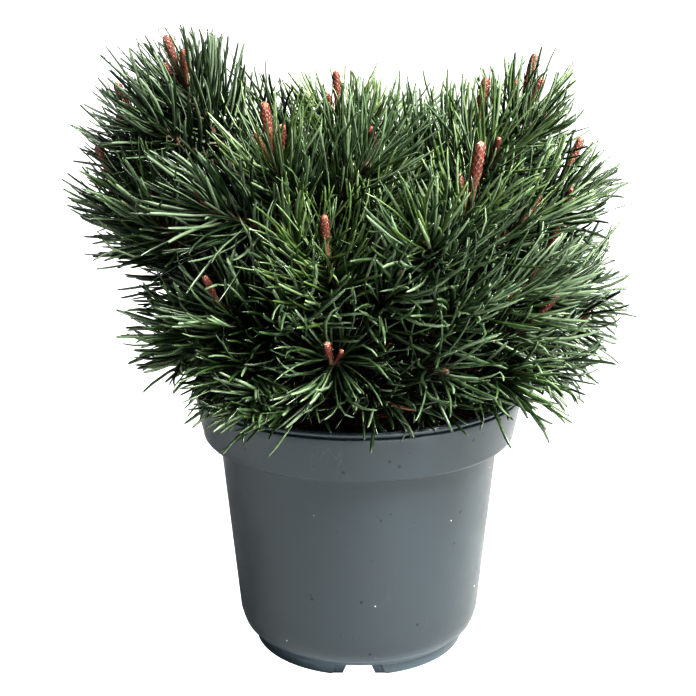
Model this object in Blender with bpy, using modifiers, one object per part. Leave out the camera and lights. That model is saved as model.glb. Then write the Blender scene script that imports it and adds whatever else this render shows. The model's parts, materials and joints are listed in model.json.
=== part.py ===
"""A dwarf mountain pine in a grey nursery pot, in metres, +Z up, front at -Y, standing at the origin.

The pot and the soil are turned. The trunk and the boughs are tapering curves. Each mass of foliage grows from
one stem: a lead shoot, side shoots round it, and needles and buds set on them by one seeded rule.
"""

import math
import random

import bmesh
import bpy
import numpy as np
from mathutils import Matrix, Vector

# Clearance between two pieces that meet
GAP = 0.0003

# Pot
POT_HEIGHT = 0.1575
RIM_RADIUS = 0.095
BEAD_HEIGHT = 0.003
BEAD_STANDS_OUT = 0.0008
GROOVE_DEPTH = 0.0008
GROOVE_HEIGHT = 0.0009
COLLAR_HEIGHT = 0.030
COLLAR_FOOT_RADIUS = 0.0905
COLLAR_ROUND = 0.0025
COLLAR_TURNS = 3
BODY_TOP_RADIUS = 0.0812
BODY_FOOT_RADIUS = 0.0712
BODY_FOOT_Z = 0.0200
HEEL_RADIUS = 0.0665
HEEL_Z = 0.0070
HEEL_TAPER = 0.0010
HEEL_POINTS = 4
FOOT_RADIUS = 0.0620
FOOT_WIDTH = 0.0030
FOOT_STEP_WIDTH = 0.0006
FOOT_STEP_HEIGHT = 0.0025
BASE_LIFT = 0.0050
WALL = 0.0016
POT_STEPS = 36
NOTCH_COUNT = 4
NOTCH_WIDTH = 0.017
NOTCH_HEIGHT = 0.0042
NOTCH_CUT_DEPTH = 0.012
DRAIN_COUNT = 8
DRAIN_RADIUS = 0.0045
DRAIN_CIRCLE = 0.045
DRAIN_STEPS = 12
DRAIN_CUT_DEPTH = 0.0064

# Soil
SOIL_TOP = 0.1420
SOIL_DISH = 0.0030
SOIL_LEVEL_RADIUS = 0.030
SOIL_LOW_RADIUS = 0.073

# Trunk
TRUNK_FOOT = Vector((0.004, 0.002, SOIL_TOP + GAP))
TRUNK_TIP = Vector((-0.002, 0.006, 0.206))
TRUNK_FOOT_RADIUS = 0.0092
TRUNK_TIP_RADIUS = 0.0052
TRUNK_FLARE = 0.0050
TRUNK_FLARE_FADE = 7.0
TRUNK_POINTS = 7
TRUNK_LIFT = 0.4
TRUNK_SIDES = 12

# Boughs
BOUGH_FOOT_RADIUS = 0.0036
BRANCH_FOOT_RADIUS = 0.0031
BOUGH_TIP_RADIUS = 0.0027
BOUGH_POINTS = 5
BOUGH_REACH = 0.38
BOUGH_SIDES = 6
LIMB_TESTS = 25

# Shoots
CROWN_HEART = Vector((0.0, 0.0, 0.165))
SHOOT_LENGTH = 0.072
SHOOT_BEND = 0.45
SIDE_LENGTH = 0.060
SIDE_LENGTH_SPREAD = (0.88, 1.12)
SIDE_START = (0.16, 0.32)
SIDE_SPREAD = math.radians(52.0)
SIDE_RISE = 0.30
SIDE_RISE_SPREAD = (0.6, 1.2)
SIDE_TRIES = 16
SHOOT_ROOM = 0.0195
OWN_ROOM = 0.0137
LIMB_ROOM = 0.0085
SHOOT_TESTS = 9
SHOOT_TESTS_SKIPPED = 3
SHOOT_RADIUS = 0.0027
SHOOT_TIP_RADIUS = 0.0020
LEAD_POINTS = 4
SIDE_POINTS = 3
LEAD_SIDES = 6
SIDE_SIDES = 4
GOLDEN_ANGLE = math.radians(137.508)
SEED = 41

# Needles. Those at a shoot's tip lean less than those at its foot, and stand wider round a bud.
NEEDLES_PER_LEAD = 7
NEEDLES_PER_SIDE = 5
NEEDLE_LENGTH = 0.043
NEEDLE_LENGTH_SPREAD = (0.86, 1.10)
NEEDLE_RADIUS = 0.0020
NEEDLE_SIDES = 3
NEEDLE_FIRST = 0.26
NEEDLE_LAST = 0.985
NEEDLE_JITTER = (0.2, 0.8)
NEEDLE_LEAN_FOOT = math.radians(66.0)
NEEDLE_LEAN_TIP = math.radians(30.0)
NEEDLE_LEAN_AT_BUD = math.radians(48.0)
NEEDLE_LEAN_CURVE = 1.5
NEEDLE_DROOP = 0.16
NEEDLE_SINK = 0.0006
NEEDLE_ROOM = 0.0024
NEEDLE_LIMB_ROOM = 0.0062
NEEDLE_TURNS = 4
NEEDLE_TESTS = (0.3, 0.5, 0.7, 0.85, 1.0)
CLOUD_POINTS = 17

# Buds
BUD_LENGTH = 0.0200
BUD_RADIUS = 0.0029
BUD_FOOT = 0.7
BUD_TIP = 0.4
BUD_SIDES = 6
BUD_SPREAD = math.radians(24.0)
BUD_RISE = 0.35
BUD_SINK = 1.0
BUD_SINK_STEP = 0.6
SMALL_BUD = 0.75

UP = Vector((0.0, 0.0, 1.0))

# One row for each mass: name, the tip of its lead shoot, how far that tip turns up, side shoots, the angle
# round the lead at which the first of them stands, buds on the lead, the limb that carries it, and how far
# along that limb its bough starts.
MASSES = (
    ("leader", (0.004, -0.034, 0.280), 0.45, 2, 0, 1, None, 1.0),
    ("left_peak", (-0.098, -0.006, 0.333), 0.05, 2, 60, 3, "trunk", 0.86),
    ("left_shoulder", (-0.125, 0.004, 0.303), 0.20, 1, 0, 2, "left_peak", 0.42),
    ("left_far", (-0.130, -0.014, 0.269), 0.15, 1, 60, 2, "trunk", 0.60),
    ("left_low", (-0.074, -0.070, 0.222), 0.20, 3, 90, 1, "trunk", 0.34),
    ("left_hem", (-0.088, -0.050, 0.200), -0.05, 2, 210, 0, "left_low", 0.40),
    ("front_hem", (-0.014, -0.108, 0.200), -0.04, 1, 0, 2, "trunk", 0.14),
    ("front_centre", (-0.016, -0.090, 0.252), 0.40, 2, 0, 1, "trunk", 0.54),
    ("front_left_top", (-0.045, -0.056, 0.299), 0.30, 2, 30, 3, "trunk", 0.76),
    ("top_centre", (-0.012, 0.030, 0.312), 0.30, 2, 0, 2, "trunk", 0.97),
    ("right_front", (0.058, -0.072, 0.276), 0.50, 2, 60, 2, "trunk", 0.66),
    ("right_rosette", (0.050, -0.096, 0.226), 0.10, 2, 120, 0, "right_front", 0.42),
    ("right_inner", (0.066, -0.004, 0.306), 0.35, 1, 240, 1, "trunk", 0.84),
    ("right_peak", (0.094, 0.022, 0.315), 0.30, 2, 240, 3, "right_inner", 0.40),
    ("right_shoulder", (0.118, 0.014, 0.275), 0.20, 2, 240, 1, "trunk", 0.58),
    ("right_middle", (0.099, -0.044, 0.236), 0.35, 1, 30, 1, "right_shoulder", 0.40),
    ("right_low", (0.092, -0.060, 0.206), 0.10, 1, 60, 1, "trunk", 0.44),
    ("right_far", (0.128, 0.026, 0.206), 0.00, 2, 330, 0, "trunk", 0.30),
    ("right_hem", (0.080, -0.078, 0.182), -0.08, 0, 0, 0, "trunk", 0.22),
    ("front_right_hem", (0.044, -0.106, 0.194), -0.06, 0, 0, 0, "trunk", 0.34),
    ("back_left_top", (-0.074, 0.056, 0.294), 0.25, 2, 120, 2, "trunk", 0.74),
    ("back_left", (-0.112, 0.062, 0.236), 0.05, 2, 270, 1, "trunk", 0.42),
    ("back_top", (0.020, 0.078, 0.282), 0.30, 2, 0, 2, "trunk", 0.80),
    ("back_right", (0.098, 0.074, 0.244), 0.10, 3, 30, 1, "trunk", 0.70),
    ("back_centre", (-0.010, 0.099, 0.234), 0.10, 3, 210, 1, "trunk", 0.50),
    ("back_left_hem", (-0.060, 0.094, 0.190), -0.03, 2, 60, 1, "trunk", 0.22),
    ("back_right_hem", (0.058, 0.098, 0.186), -0.03, 2, 60, 0, "trunk", 0.16),
)


def material(name, colour, roughness):
    """A Principled BSDF of one colour."""
    made = bpy.data.materials.new(name)
    made.use_nodes = True
    shader = made.node_tree.nodes["Principled BSDF"]
    shader.inputs["Base Color"].default_value = (*colour, 1.0)
    shader.inputs["Roughness"].default_value = roughness
    shader.inputs["Metallic"].default_value = 0.0
    made.diffuse_color = (*colour, 1.0)
    return made


def new_collection(name):
    made = bpy.data.collections.new(name)
    bpy.context.scene.collection.children.link(made)
    return made


def new_object(name, data, collection, finish=None):
    made = bpy.data.objects.new(name, data)
    collection.objects.link(made)
    if finish:
        data.materials.append(finish)
    return made


def evaluated_mesh(obj):
    """A copy of the object's mesh with its modifiers or its bevel worked out."""
    bpy.context.view_layer.update()
    graph = bpy.context.evaluated_depsgraph_get()
    return bpy.data.meshes.new_from_object(obj.evaluated_get(graph))


def bezier(points, share):
    """The point at this share of a Bezier curve."""
    while len(points) > 1:
        points = [a.lerp(b, share) for a, b in zip(points, points[1:])]
    return points[0]


def sampled(points, count):
    return [bezier(points, i / (count - 1)) for i in range(count)]


def square_foot(points, count):
    """A sampled curve whose first stretch leaves exactly along the curve, so that its foot is cut square."""
    path = sampled(points, count)
    path[1] = path[0] + (points[1] - points[0]).normalized() * (path[1] - path[0]).length
    return path


def turned(name, profile, steps, collection, finish):
    """A profile of (radius, height) pairs turned round the Z axis."""
    mesh = bpy.data.meshes.new(name)
    edges = [(i, i + 1) for i in range(len(profile) - 1)]
    mesh.from_pydata([(radius, 0.0, height) for radius, height in profile], edges, [])
    made = new_object(name, mesh, collection, finish)
    screw = made.modifiers.new("turn", "SCREW")
    screw.steps = steps
    screw.render_steps = steps
    screw.use_merge_vertices = True
    screw.merge_threshold = 0.00001
    return made


def pot_outside():
    """(radius, height) down the outside of the pot, from the rim to the foot."""
    collar_foot = POT_HEIGHT - COLLAR_HEIGHT
    side = [
        (RIM_RADIUS, POT_HEIGHT),
        (RIM_RADIUS + BEAD_STANDS_OUT, POT_HEIGHT - BEAD_HEIGHT / 2),
        (RIM_RADIUS, POT_HEIGHT - BEAD_HEIGHT),
        (RIM_RADIUS - GROOVE_DEPTH, POT_HEIGHT - BEAD_HEIGHT - GROOVE_HEIGHT),
        (RIM_RADIUS - GROOVE_DEPTH / 2, POT_HEIGHT - BEAD_HEIGHT - GROOVE_HEIGHT * 2),
    ]
    for i in range(COLLAR_TURNS + 1):
        angle = math.pi / 2 * i / COLLAR_TURNS
        radius = COLLAR_FOOT_RADIUS - COLLAR_ROUND * (1 - math.cos(angle))
        side.append((radius, collar_foot + COLLAR_ROUND * (1 - math.sin(angle))))
    side.append((BODY_TOP_RADIUS, collar_foot - WALL / 2))
    side.append((BODY_FOOT_RADIUS, BODY_FOOT_Z))
    heel = [
        Vector((BODY_FOOT_RADIUS, BODY_FOOT_Z, 0.0)),
        Vector((BODY_FOOT_RADIUS - HEEL_TAPER, (BODY_FOOT_Z + HEEL_Z) / 2, 0.0)),
        Vector((HEEL_RADIUS, HEEL_Z, 0.0)),
    ]
    side += [(point.x, point.y) for point in sampled(heel, HEEL_POINTS)[1:]]
    side.append((FOOT_RADIUS + FOOT_STEP_WIDTH, HEEL_Z - FOOT_STEP_HEIGHT))
    side.append((FOOT_RADIUS, 0.0))
    return side


def pot_inside():
    """(radius, height) up the inside of the pot, from the base to the rim."""
    collar_foot = POT_HEIGHT - COLLAR_HEIGHT
    return [
        (HEEL_RADIUS - WALL * 2, BASE_LIFT + WALL),
        (BODY_FOOT_RADIUS - WALL, BODY_FOOT_Z),
        (BODY_TOP_RADIUS - WALL, collar_foot + WALL / 2),
        (COLLAR_FOOT_RADIUS - WALL, collar_foot + WALL),
        (RIM_RADIUS - WALL, POT_HEIGHT - BEAD_HEIGHT),
        (RIM_RADIUS - WALL / 2, POT_HEIGHT),
    ]


def make_pot(parts, cutters):
    under = [
        (FOOT_RADIUS - FOOT_WIDTH, 0.0),
        (FOOT_RADIUS - FOOT_WIDTH, BASE_LIFT),
        (0.0, BASE_LIFT),
    ]
    profile = [(0.0, BASE_LIFT + WALL)] + pot_inside() + pot_outside() + under
    finish = material("pot_plastic", (0.105, 0.125, 0.132), 0.48)
    pot = turned("pot", profile, POT_STEPS, parts, finish)
    for i in range(NOTCH_COUNT):
        angle = 2 * math.pi * i / NOTCH_COUNT - math.pi / 2
        bpy.ops.mesh.primitive_cube_add(size=1.0)
        notch = bpy.context.object
        notch.name = f"notch_cutter_{i}"
        out = Matrix.Rotation(angle, 4, "Z") @ Matrix.Translation((FOOT_RADIUS, 0.0, 0.0))
        size = Matrix.Diagonal((NOTCH_CUT_DEPTH, NOTCH_WIDTH, NOTCH_HEIGHT * 2, 1.0))
        notch.data.transform(out @ size)
        move_to(notch, cutters)
    for i in range(DRAIN_COUNT):
        angle = 2 * math.pi * (i + 0.5) / DRAIN_COUNT
        bpy.ops.mesh.primitive_cylinder_add(
            vertices=DRAIN_STEPS, radius=DRAIN_RADIUS, depth=DRAIN_CUT_DEPTH
        )
        drain = bpy.context.object
        drain.name = f"drain_cutter_{i}"
        place = Vector((DRAIN_CIRCLE * math.cos(angle), DRAIN_CIRCLE * math.sin(angle), BASE_LIFT))
        drain.data.transform(Matrix.Translation(place))
        move_to(drain, cutters)
    cut = pot.modifiers.new("notches_and_drains", "BOOLEAN")
    cut.operation = "DIFFERENCE"
    cut.operand_type = "COLLECTION"
    cut.collection = cutters


def move_to(obj, collection):
    """Puts a cutter in its collection, as a wire that is not part of the plant."""
    for old in list(obj.users_collection):
        old.objects.unlink(obj)
    collection.objects.link(obj)
    obj.hide_render = True
    obj.display_type = "WIRE"


def soil_radius(height):
    """The pot's inner radius at this height, less the clearance."""
    inside = pot_inside()
    radii = [radius for radius, _ in inside]
    heights = [z for _, z in inside]
    return float(np.interp(height, heights, radii)) - GAP


def make_soil(parts):
    collar_foot = POT_HEIGHT - COLLAR_HEIGHT
    base = BASE_LIFT + WALL + GAP
    profile = [
        (0.0, SOIL_TOP),
        (SOIL_LEVEL_RADIUS, SOIL_TOP),
        (SOIL_LOW_RADIUS, SOIL_TOP - SOIL_DISH),
        (soil_radius(SOIL_TOP - SOIL_DISH / 2), SOIL_TOP - SOIL_DISH / 2),
        (soil_radius(collar_foot + WALL) - GAP, collar_foot + WALL + GAP),
        (BODY_TOP_RADIUS - WALL - GAP * 2, collar_foot + WALL / 2 + GAP * 2),
        (soil_radius(BODY_FOOT_Z) - GAP, BODY_FOOT_Z),
        (soil_radius(base) - GAP, base),
        (0.0, base),
    ]
    turned("soil", profile, POT_STEPS, parts, material("potting_soil", (0.028, 0.019, 0.013), 0.95))


def limb(name, path, radii, sides, collection, finish=None):
    """A tapering curve along a path, with flat ends."""
    curve = bpy.data.curves.new(name, "CURVE")
    curve.dimensions = "3D"
    curve.bevel_depth = 1.0
    curve.bevel_resolution = (sides - 4) // 2
    curve.use_fill_caps = True
    spline = curve.splines.new("POLY")
    spline.points.add(len(path) - 1)
    for point, place, radius in zip(spline.points, path, radii):
        point.co = (*place, 1.0)
        point.radius = radius
    return new_object(name, curve, collection, finish)


def trunk_line():
    """The trunk's path and radii. It leaves the soil upright, and its foot flares."""
    lift = Vector((0.0, 0.0, TRUNK_LIFT * (TRUNK_TIP.z - TRUNK_FOOT.z)))
    path = sampled([TRUNK_FOOT, TRUNK_FOOT + lift, TRUNK_TIP - lift / 2, TRUNK_TIP], TRUNK_POINTS)
    radii = []
    for i in range(TRUNK_POINTS):
        share = i / (TRUNK_POINTS - 1)
        taper = TRUNK_FOOT_RADIUS + (TRUNK_TIP_RADIUS - TRUNK_FOOT_RADIUS) * share
        radii.append(taper + TRUNK_FLARE * math.exp(-TRUNK_FLARE_FADE * share))
    path[1].xy = path[0].xy
    return path, radii


def at_share(path, radii, share):
    """The place, the direction and the radius at this share of a limb."""
    place = share * (len(path) - 1)
    i = min(int(place), len(path) - 2)
    part = place - i
    radius = radii[i] + (radii[i + 1] - radii[i]) * part
    return path[i].lerp(path[i + 1], part), (path[i + 1] - path[i]).normalized(), radius


def lead_curve(tip, upturn):
    """The lead shoot's three control points, from its foot to its tip."""
    outward = (tip - CROWN_HEART).normalized()
    end = outward.lerp(UP, upturn).normalized()
    bend = tip - end * SHOOT_LENGTH * (1.0 - SHOOT_BEND)
    foot = bend - outward * SHOOT_LENGTH * SHOOT_BEND
    return [foot, bend, tip]


def bough_line(lead, carrier, share):
    """A bough that leaves its carrier squarely and ends short of the lead shoot's foot."""
    place, along, thick = at_share(*carrier, share)
    length = sum((b - a).length for a, b in zip(carrier[0], carrier[0][1:]))
    thick = at_share(*carrier, max(0.0, share - BOUGH_FOOT_RADIUS / length))[2]
    target = lead[0] - (lead[1] - lead[0]).normalized() * GAP
    away = target - place
    away = (away - along * away.dot(along)).normalized()
    start = place + away * (thick + GAP)
    reach = (target - start).length * BOUGH_REACH
    turn = [start, start + away * reach, target - (lead[1] - lead[0]).normalized() * reach, target]
    path = square_foot(turn, BOUGH_POINTS)
    path[-2] = target + (turn[2] - target).normalized() * (path[-2] - target).length
    foot_radius = min(BOUGH_FOOT_RADIUS if thick > BOUGH_FOOT_RADIUS else BRANCH_FOOT_RADIUS, thick)
    steps = len(path) - 1
    return path, [foot_radius + (BOUGH_TIP_RADIUS - foot_radius) * i / steps for i in range(steps + 1)]


def grow_limbs():
    """Every limb's path and radii, and every lead shoot's control points, by name."""
    limbs = {"trunk": trunk_line()}
    leads = {}
    for name, tip, upturn, _, _, _, carrier, share in MASSES:
        lead = lead_curve(Vector(tip), upturn)
        if carrier:
            limbs[name] = bough_line(lead, limbs[carrier], share)
        else:
            onward = (TRUNK_TIP - limbs["trunk"][0][-2]).normalized()
            lead[0] = TRUNK_TIP + onward * GAP
            lead[1] = lead[0] + onward * SHOOT_LENGTH * SHOOT_BEND
        leads[name] = lead
    return limbs, leads


def clear_of_pot(point, room):
    """Whether a point keeps this far from the pot and the soil."""
    radius = math.hypot(point.x, point.y)
    if point.z > POT_HEIGHT + room or radius > RIM_RADIUS + BEAD_STANDS_OUT + room:
        return True
    return radius < COLLAR_FOOT_RADIUS - WALL - room and point.z > SOIL_TOP + room


def nearest(point, cloud):
    """The distance from a point to the nearest point of a cloud."""
    return float(np.sqrt(((cloud - np.array(point)) ** 2).sum(axis=1).min()))


def cloud_of(shoots, count):
    """Points along several shoots."""
    return np.concatenate([np.array(sampled(shoot, count)) for shoot in shoots])


def limb_points(limbs):
    """Points along every limb."""
    shares = [i / (LIMB_TESTS - 1) for i in range(LIMB_TESTS)]
    return np.array([at_share(*limb, share)[0] for limb in limbs.values() for share in shares])


def side_shoot(parent, forward, around, spread, length, share, rise):
    """A side shoot's three control points. It leaves its parent at an angle and turns up."""
    start = bezier(parent, share)
    leave = (forward * math.cos(spread) + around * math.sin(spread)).normalized()
    bend = start + leave * length / 2
    tip = bend + leave.lerp(UP, rise).normalized() * length / 2
    return [start, bend, tip]


def is_free(shoot, others, boughs, kin, room, own_room):
    """Whether a shoot keeps away from other masses, limbs, its own mass and the pot."""
    return all(
        nearest(point, others) > room
        and nearest(point, boughs) > LIMB_ROOM
        and (kin is None or nearest(point, kin) > own_room)
        and clear_of_pot(point, LIMB_ROOM)
        for point in sampled(shoot, SHOOT_TESTS)[SHOOT_TESTS_SKIPPED:]
    )


def grow_shoots(limbs, leads):
    """The shoots of each mass. A side shoot that comes too near another mass or a limb is skipped."""
    shoots = {name: [lead] for name, lead in leads.items()}
    boughs = limb_points(limbs)
    for row, (name, _, _, sides, turn, _, _, _) in enumerate(MASSES):
        rng = random.Random(SEED + row)
        others = cloud_of(
            [shoot for other, grown in shoots.items() if other != name for shoot in grown], SHOOT_TESTS
        )
        lead = leads[name]
        forward = (lead[2] - lead[0]).normalized()
        across = forward.orthogonal().normalized()
        for attempt in range(SIDE_TRIES):
            if len(shoots[name]) > sides:
                break
            around = Matrix.Rotation(math.radians(turn) + GOLDEN_ANGLE * attempt, 3, forward) @ across
            share = rng.uniform(*SIDE_START)
            length = SIDE_LENGTH * rng.uniform(*SIDE_LENGTH_SPREAD)
            rise = SIDE_RISE * rng.uniform(*SIDE_RISE_SPREAD)
            shoot = side_shoot(lead, forward, around, SIDE_SPREAD, length, share, rise)
            kin = cloud_of(shoots[name][1:], SHOOT_TESTS) if len(shoots[name]) > 1 else None
            if is_free(shoot, others, boughs, kin, SHOOT_ROOM, OWN_ROOM):
                shoots[name].append(shoot)
    return shoots, boughs


def frame_of(origin, along, side, width, length):
    """A matrix that sets a unit piece on its foot, pointing along, with its +X towards a side."""
    z = along.normalized()
    x = (side - z * side.dot(z)).normalized()
    y = z.cross(x)
    turn = Matrix((x * width, y * width, z * length)).transposed().to_4x4()
    return Matrix.Translation(origin) @ turn


def unit_needle():
    """A needle one unit long."""
    mesh = bpy.data.meshes.new("needle")
    body = bmesh.new()
    bmesh.ops.create_cone(body, cap_ends=True, segments=NEEDLE_SIDES, radius1=1.0, radius2=0.0, depth=1.0)
    bmesh.ops.translate(body, verts=body.verts, vec=(0.0, 0.0, 0.5))
    body.to_mesh(mesh)
    body.free()
    return mesh


def unit_bud():
    """A bud one unit long, with a blunt tip."""
    mesh = bpy.data.meshes.new("bud")
    body = bmesh.new()
    bmesh.ops.create_cone(
        body, cap_ends=True, segments=BUD_SIDES, radius1=BUD_FOOT, radius2=BUD_TIP, depth=1.0
    )
    bmesh.ops.translate(body, verts=body.verts, vec=(0.0, 0.0, 0.5))
    body.to_mesh(mesh)
    body.free()
    return mesh


def needle_places(shoot, count, tip_lean, rng):
    """The choices for each needle up a shoot: foot, direction, the shoot's direction there, and length."""
    first = rng.uniform(0.0, 2 * math.pi)
    for i in range(count):
        along = (i + rng.uniform(*NEEDLE_JITTER)) / count
        share = (NEEDLE_FIRST + (1.0 - NEEDLE_FIRST) * along) * NEEDLE_LAST
        foot = bezier(shoot, share)
        ahead = (shoot[1] - shoot[0]).lerp(shoot[2] - shoot[1], share).normalized()
        lean = NEEDLE_LEAN_FOOT + (tip_lean - NEEDLE_LEAN_FOOT) * along**NEEDLE_LEAN_CURVE
        length = NEEDLE_LENGTH * rng.uniform(*NEEDLE_LENGTH_SPREAD)
        choices = []
        for step in range(NEEDLE_TURNS):
            turn = first + GOLDEN_ANGLE * i + 2 * math.pi * step / NEEDLE_TURNS
            around = Matrix.Rotation(turn, 3, ahead) @ ahead.orthogonal().normalized()
            direction = ahead * math.cos(lean) + around * math.sin(lean)
            direction.z -= NEEDLE_DROOP * (1.0 - max(0.0, ahead.z))
            choices.append((foot, direction.normalized(), ahead, length))
        yield choices


def keeps_room(line, own, others, boughs):
    """Whether a needle's line stays in its mass's space and clear of the limbs and the pot."""
    return all(
        nearest(point, own) + 2 * NEEDLE_ROOM < nearest(point, others)
        and nearest(point, boughs) > NEEDLE_LIMB_ROOM
        and clear_of_pot(point, NEEDLE_ROOM)
        for point in line
    )


def set_needles(shoot, count, tip_lean, clouds, rng, needle, pieces):
    """Sets needles on a shoot, each turned to the first side where it has room."""
    for choices in needle_places(shoot, count, tip_lean, rng):
        for foot, direction, ahead, length in choices:
            line = [foot + direction * length * part for part in NEEDLE_TESTS]
            if keeps_room(line, *clouds):
                sunk = foot - direction * NEEDLE_SINK
                set_piece(needle, frame_of(sunk, direction, ahead, NEEDLE_RADIUS, length), pieces)
                break


def set_buds(lead, count, bud, pieces):
    """Sets a bud on the tip of a lead shoot, and smaller ones round it. All of them turn up."""
    end = (lead[2] - lead[1]).normalized()
    for i in range(count):
        around = Matrix.Rotation(GOLDEN_ANGLE * i, 3, end) @ end.orthogonal().normalized()
        lean = BUD_SPREAD if i else 0.0
        along = (end * math.cos(lean) + around * math.sin(lean)).lerp(UP, BUD_RISE)
        size = SMALL_BUD if i else 1.0
        foot = lead[2] - end * BUD_RADIUS * (BUD_SINK + i * BUD_SINK_STEP)
        set_piece(bud, frame_of(foot, along, around, BUD_RADIUS * size, BUD_LENGTH * size), pieces)


def grow_mass(row, shoots, boughs, parts, needle, bud, finish):
    """One mass: its shoots, needles and buds, joined into one solid."""
    name, buds = MASSES[row][0], MASSES[row][5]
    rng = random.Random(SEED * 100 + row)
    others = [shoot for other, grown in shoots.items() if other != name for shoot in grown]
    clouds = cloud_of(shoots[name], CLOUD_POINTS), cloud_of(others, CLOUD_POINTS), boughs
    pieces = new_collection("pieces_" + name)
    lead, *sides = shoots[name]
    base = shoot_core(name + "_core", square_foot(lead, LEAD_POINTS), LEAD_SIDES, parts)
    tip_lean = NEEDLE_LEAN_AT_BUD if buds else NEEDLE_LEAN_TIP
    set_needles(lead, NEEDLES_PER_LEAD, tip_lean, clouds, rng, needle, pieces)
    set_buds(lead, buds, bud, pieces)
    for number, side in enumerate(sides):
        shoot_core(f"{name}_side_{number}", square_foot(side, SIDE_POINTS), SIDE_SIDES, pieces)
        set_needles(side, NEEDLES_PER_SIDE, NEEDLE_LEAN_TIP, clouds, rng, needle, pieces)
    join = base.modifiers.new("join", "BOOLEAN")
    join.operation = "UNION"
    join.operand_type = "COLLECTION"
    join.collection = pieces
    mesh = main_body(evaluated_mesh(base))
    mesh.name = "needles_" + name
    mesh.materials.clear()
    new_object("needles_" + name, mesh, parts, finish)
    for piece in list(pieces.objects) + [base]:
        bpy.data.objects.remove(piece)
    bpy.data.collections.remove(pieces)


def shoot_core(name, path, sides, collection):
    """The slim core of a shoot, as a closed mesh that tapers."""
    steps = len(path) - 1
    radii = [SHOOT_RADIUS + (SHOOT_TIP_RADIUS - SHOOT_RADIUS) * i / steps for i in range(steps + 1)]
    curve = limb(name + "_line", path, radii, sides, collection)
    mesh = evaluated_mesh(curve)
    body = bmesh.new()
    body.from_mesh(mesh)
    bmesh.ops.remove_doubles(body, verts=body.verts, dist=0.000001)
    body.to_mesh(mesh)
    body.free()
    made = new_object(name, mesh, collection)
    made.matrix_world = curve.matrix_world
    bpy.data.objects.remove(curve)
    return made


def set_piece(mesh, matrix, collection):
    made = new_object(mesh.name + "_piece", mesh, collection)
    made.matrix_world = matrix


def main_body(mesh):
    """Keeps the largest connected body, which fills a sealed hollow and drops a loose scrap."""
    body = bmesh.new()
    body.from_mesh(mesh)
    left = set(body.verts)
    groups = []
    while left:
        front = [left.pop()]
        group = set(front)
        while front:
            vert = front.pop()
            for edge in vert.link_edges:
                other = edge.other_vert(vert)
                if other in left:
                    left.remove(other)
                    group.add(other)
                    front.append(other)
        groups.append(group)
    largest = max(groups, key=len)
    scraps = [vert for group in groups if group is not largest for vert in group]
    bmesh.ops.delete(body, geom=scraps, context="VERTS")
    body.to_mesh(mesh)
    body.free()
    return mesh


def main():
    for obj in list(bpy.data.objects):
        bpy.data.objects.remove(obj)
    parts = new_collection("potted_pine")
    cutters = new_collection("pot_cutters")
    make_pot(parts, cutters)
    make_soil(parts)
    bark = material("bark", (0.115, 0.072, 0.048), 0.9)
    green = material("needles", (0.045, 0.085, 0.030), 0.5)
    limbs, leads = grow_limbs()
    for name, (path, radii) in limbs.items():
        if name == "trunk":
            limb("trunk", path, radii, TRUNK_SIDES, parts, bark)
        else:
            limb("bough_" + name, path, radii, BOUGH_SIDES, parts, bark)
    shoots, boughs = grow_shoots(limbs, leads)
    needle = unit_needle()
    bud = unit_bud()
    for row in range(len(MASSES)):
        grow_mass(row, shoots, boughs, parts, needle, bud, green)
    bpy.data.meshes.remove(needle)
    bpy.data.meshes.remove(bud)


main()
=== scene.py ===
"""The looks of a dwarf mountain pine in a grey nursery pot.

Metres, +Z up, standing on the ground at the origin, front at -Y. Limbs and shoots grow by the same seeded
rule as the solids that they replace, and go on from there to finer shoots, paired needles and scaly buds.
"""

import json
import math
import random

import bpy
import numpy as np
from mathutils import Matrix, Vector, noise

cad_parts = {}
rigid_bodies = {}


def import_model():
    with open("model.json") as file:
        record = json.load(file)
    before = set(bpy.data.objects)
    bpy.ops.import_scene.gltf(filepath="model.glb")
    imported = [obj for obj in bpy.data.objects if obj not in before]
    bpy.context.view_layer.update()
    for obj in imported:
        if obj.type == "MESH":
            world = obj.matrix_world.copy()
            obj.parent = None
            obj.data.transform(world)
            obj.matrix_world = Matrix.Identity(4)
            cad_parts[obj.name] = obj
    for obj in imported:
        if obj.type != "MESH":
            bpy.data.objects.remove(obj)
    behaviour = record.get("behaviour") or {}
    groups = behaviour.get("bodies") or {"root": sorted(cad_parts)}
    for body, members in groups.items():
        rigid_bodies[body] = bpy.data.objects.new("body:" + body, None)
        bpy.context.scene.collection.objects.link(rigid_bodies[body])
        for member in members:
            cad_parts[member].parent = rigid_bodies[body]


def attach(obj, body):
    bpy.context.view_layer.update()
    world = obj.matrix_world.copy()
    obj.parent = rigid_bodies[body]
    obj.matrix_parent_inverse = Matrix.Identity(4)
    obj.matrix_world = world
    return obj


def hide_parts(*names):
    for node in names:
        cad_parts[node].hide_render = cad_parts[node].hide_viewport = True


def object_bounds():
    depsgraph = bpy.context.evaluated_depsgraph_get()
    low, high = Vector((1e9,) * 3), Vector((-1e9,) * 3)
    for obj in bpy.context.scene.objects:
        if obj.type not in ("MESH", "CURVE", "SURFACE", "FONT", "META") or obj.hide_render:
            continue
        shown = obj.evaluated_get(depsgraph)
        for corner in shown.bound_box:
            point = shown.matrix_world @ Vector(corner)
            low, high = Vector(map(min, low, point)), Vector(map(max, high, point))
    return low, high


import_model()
cad_low, cad_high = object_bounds()

# Clearance between two pieces that meet
GAP = 0.0003

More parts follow.
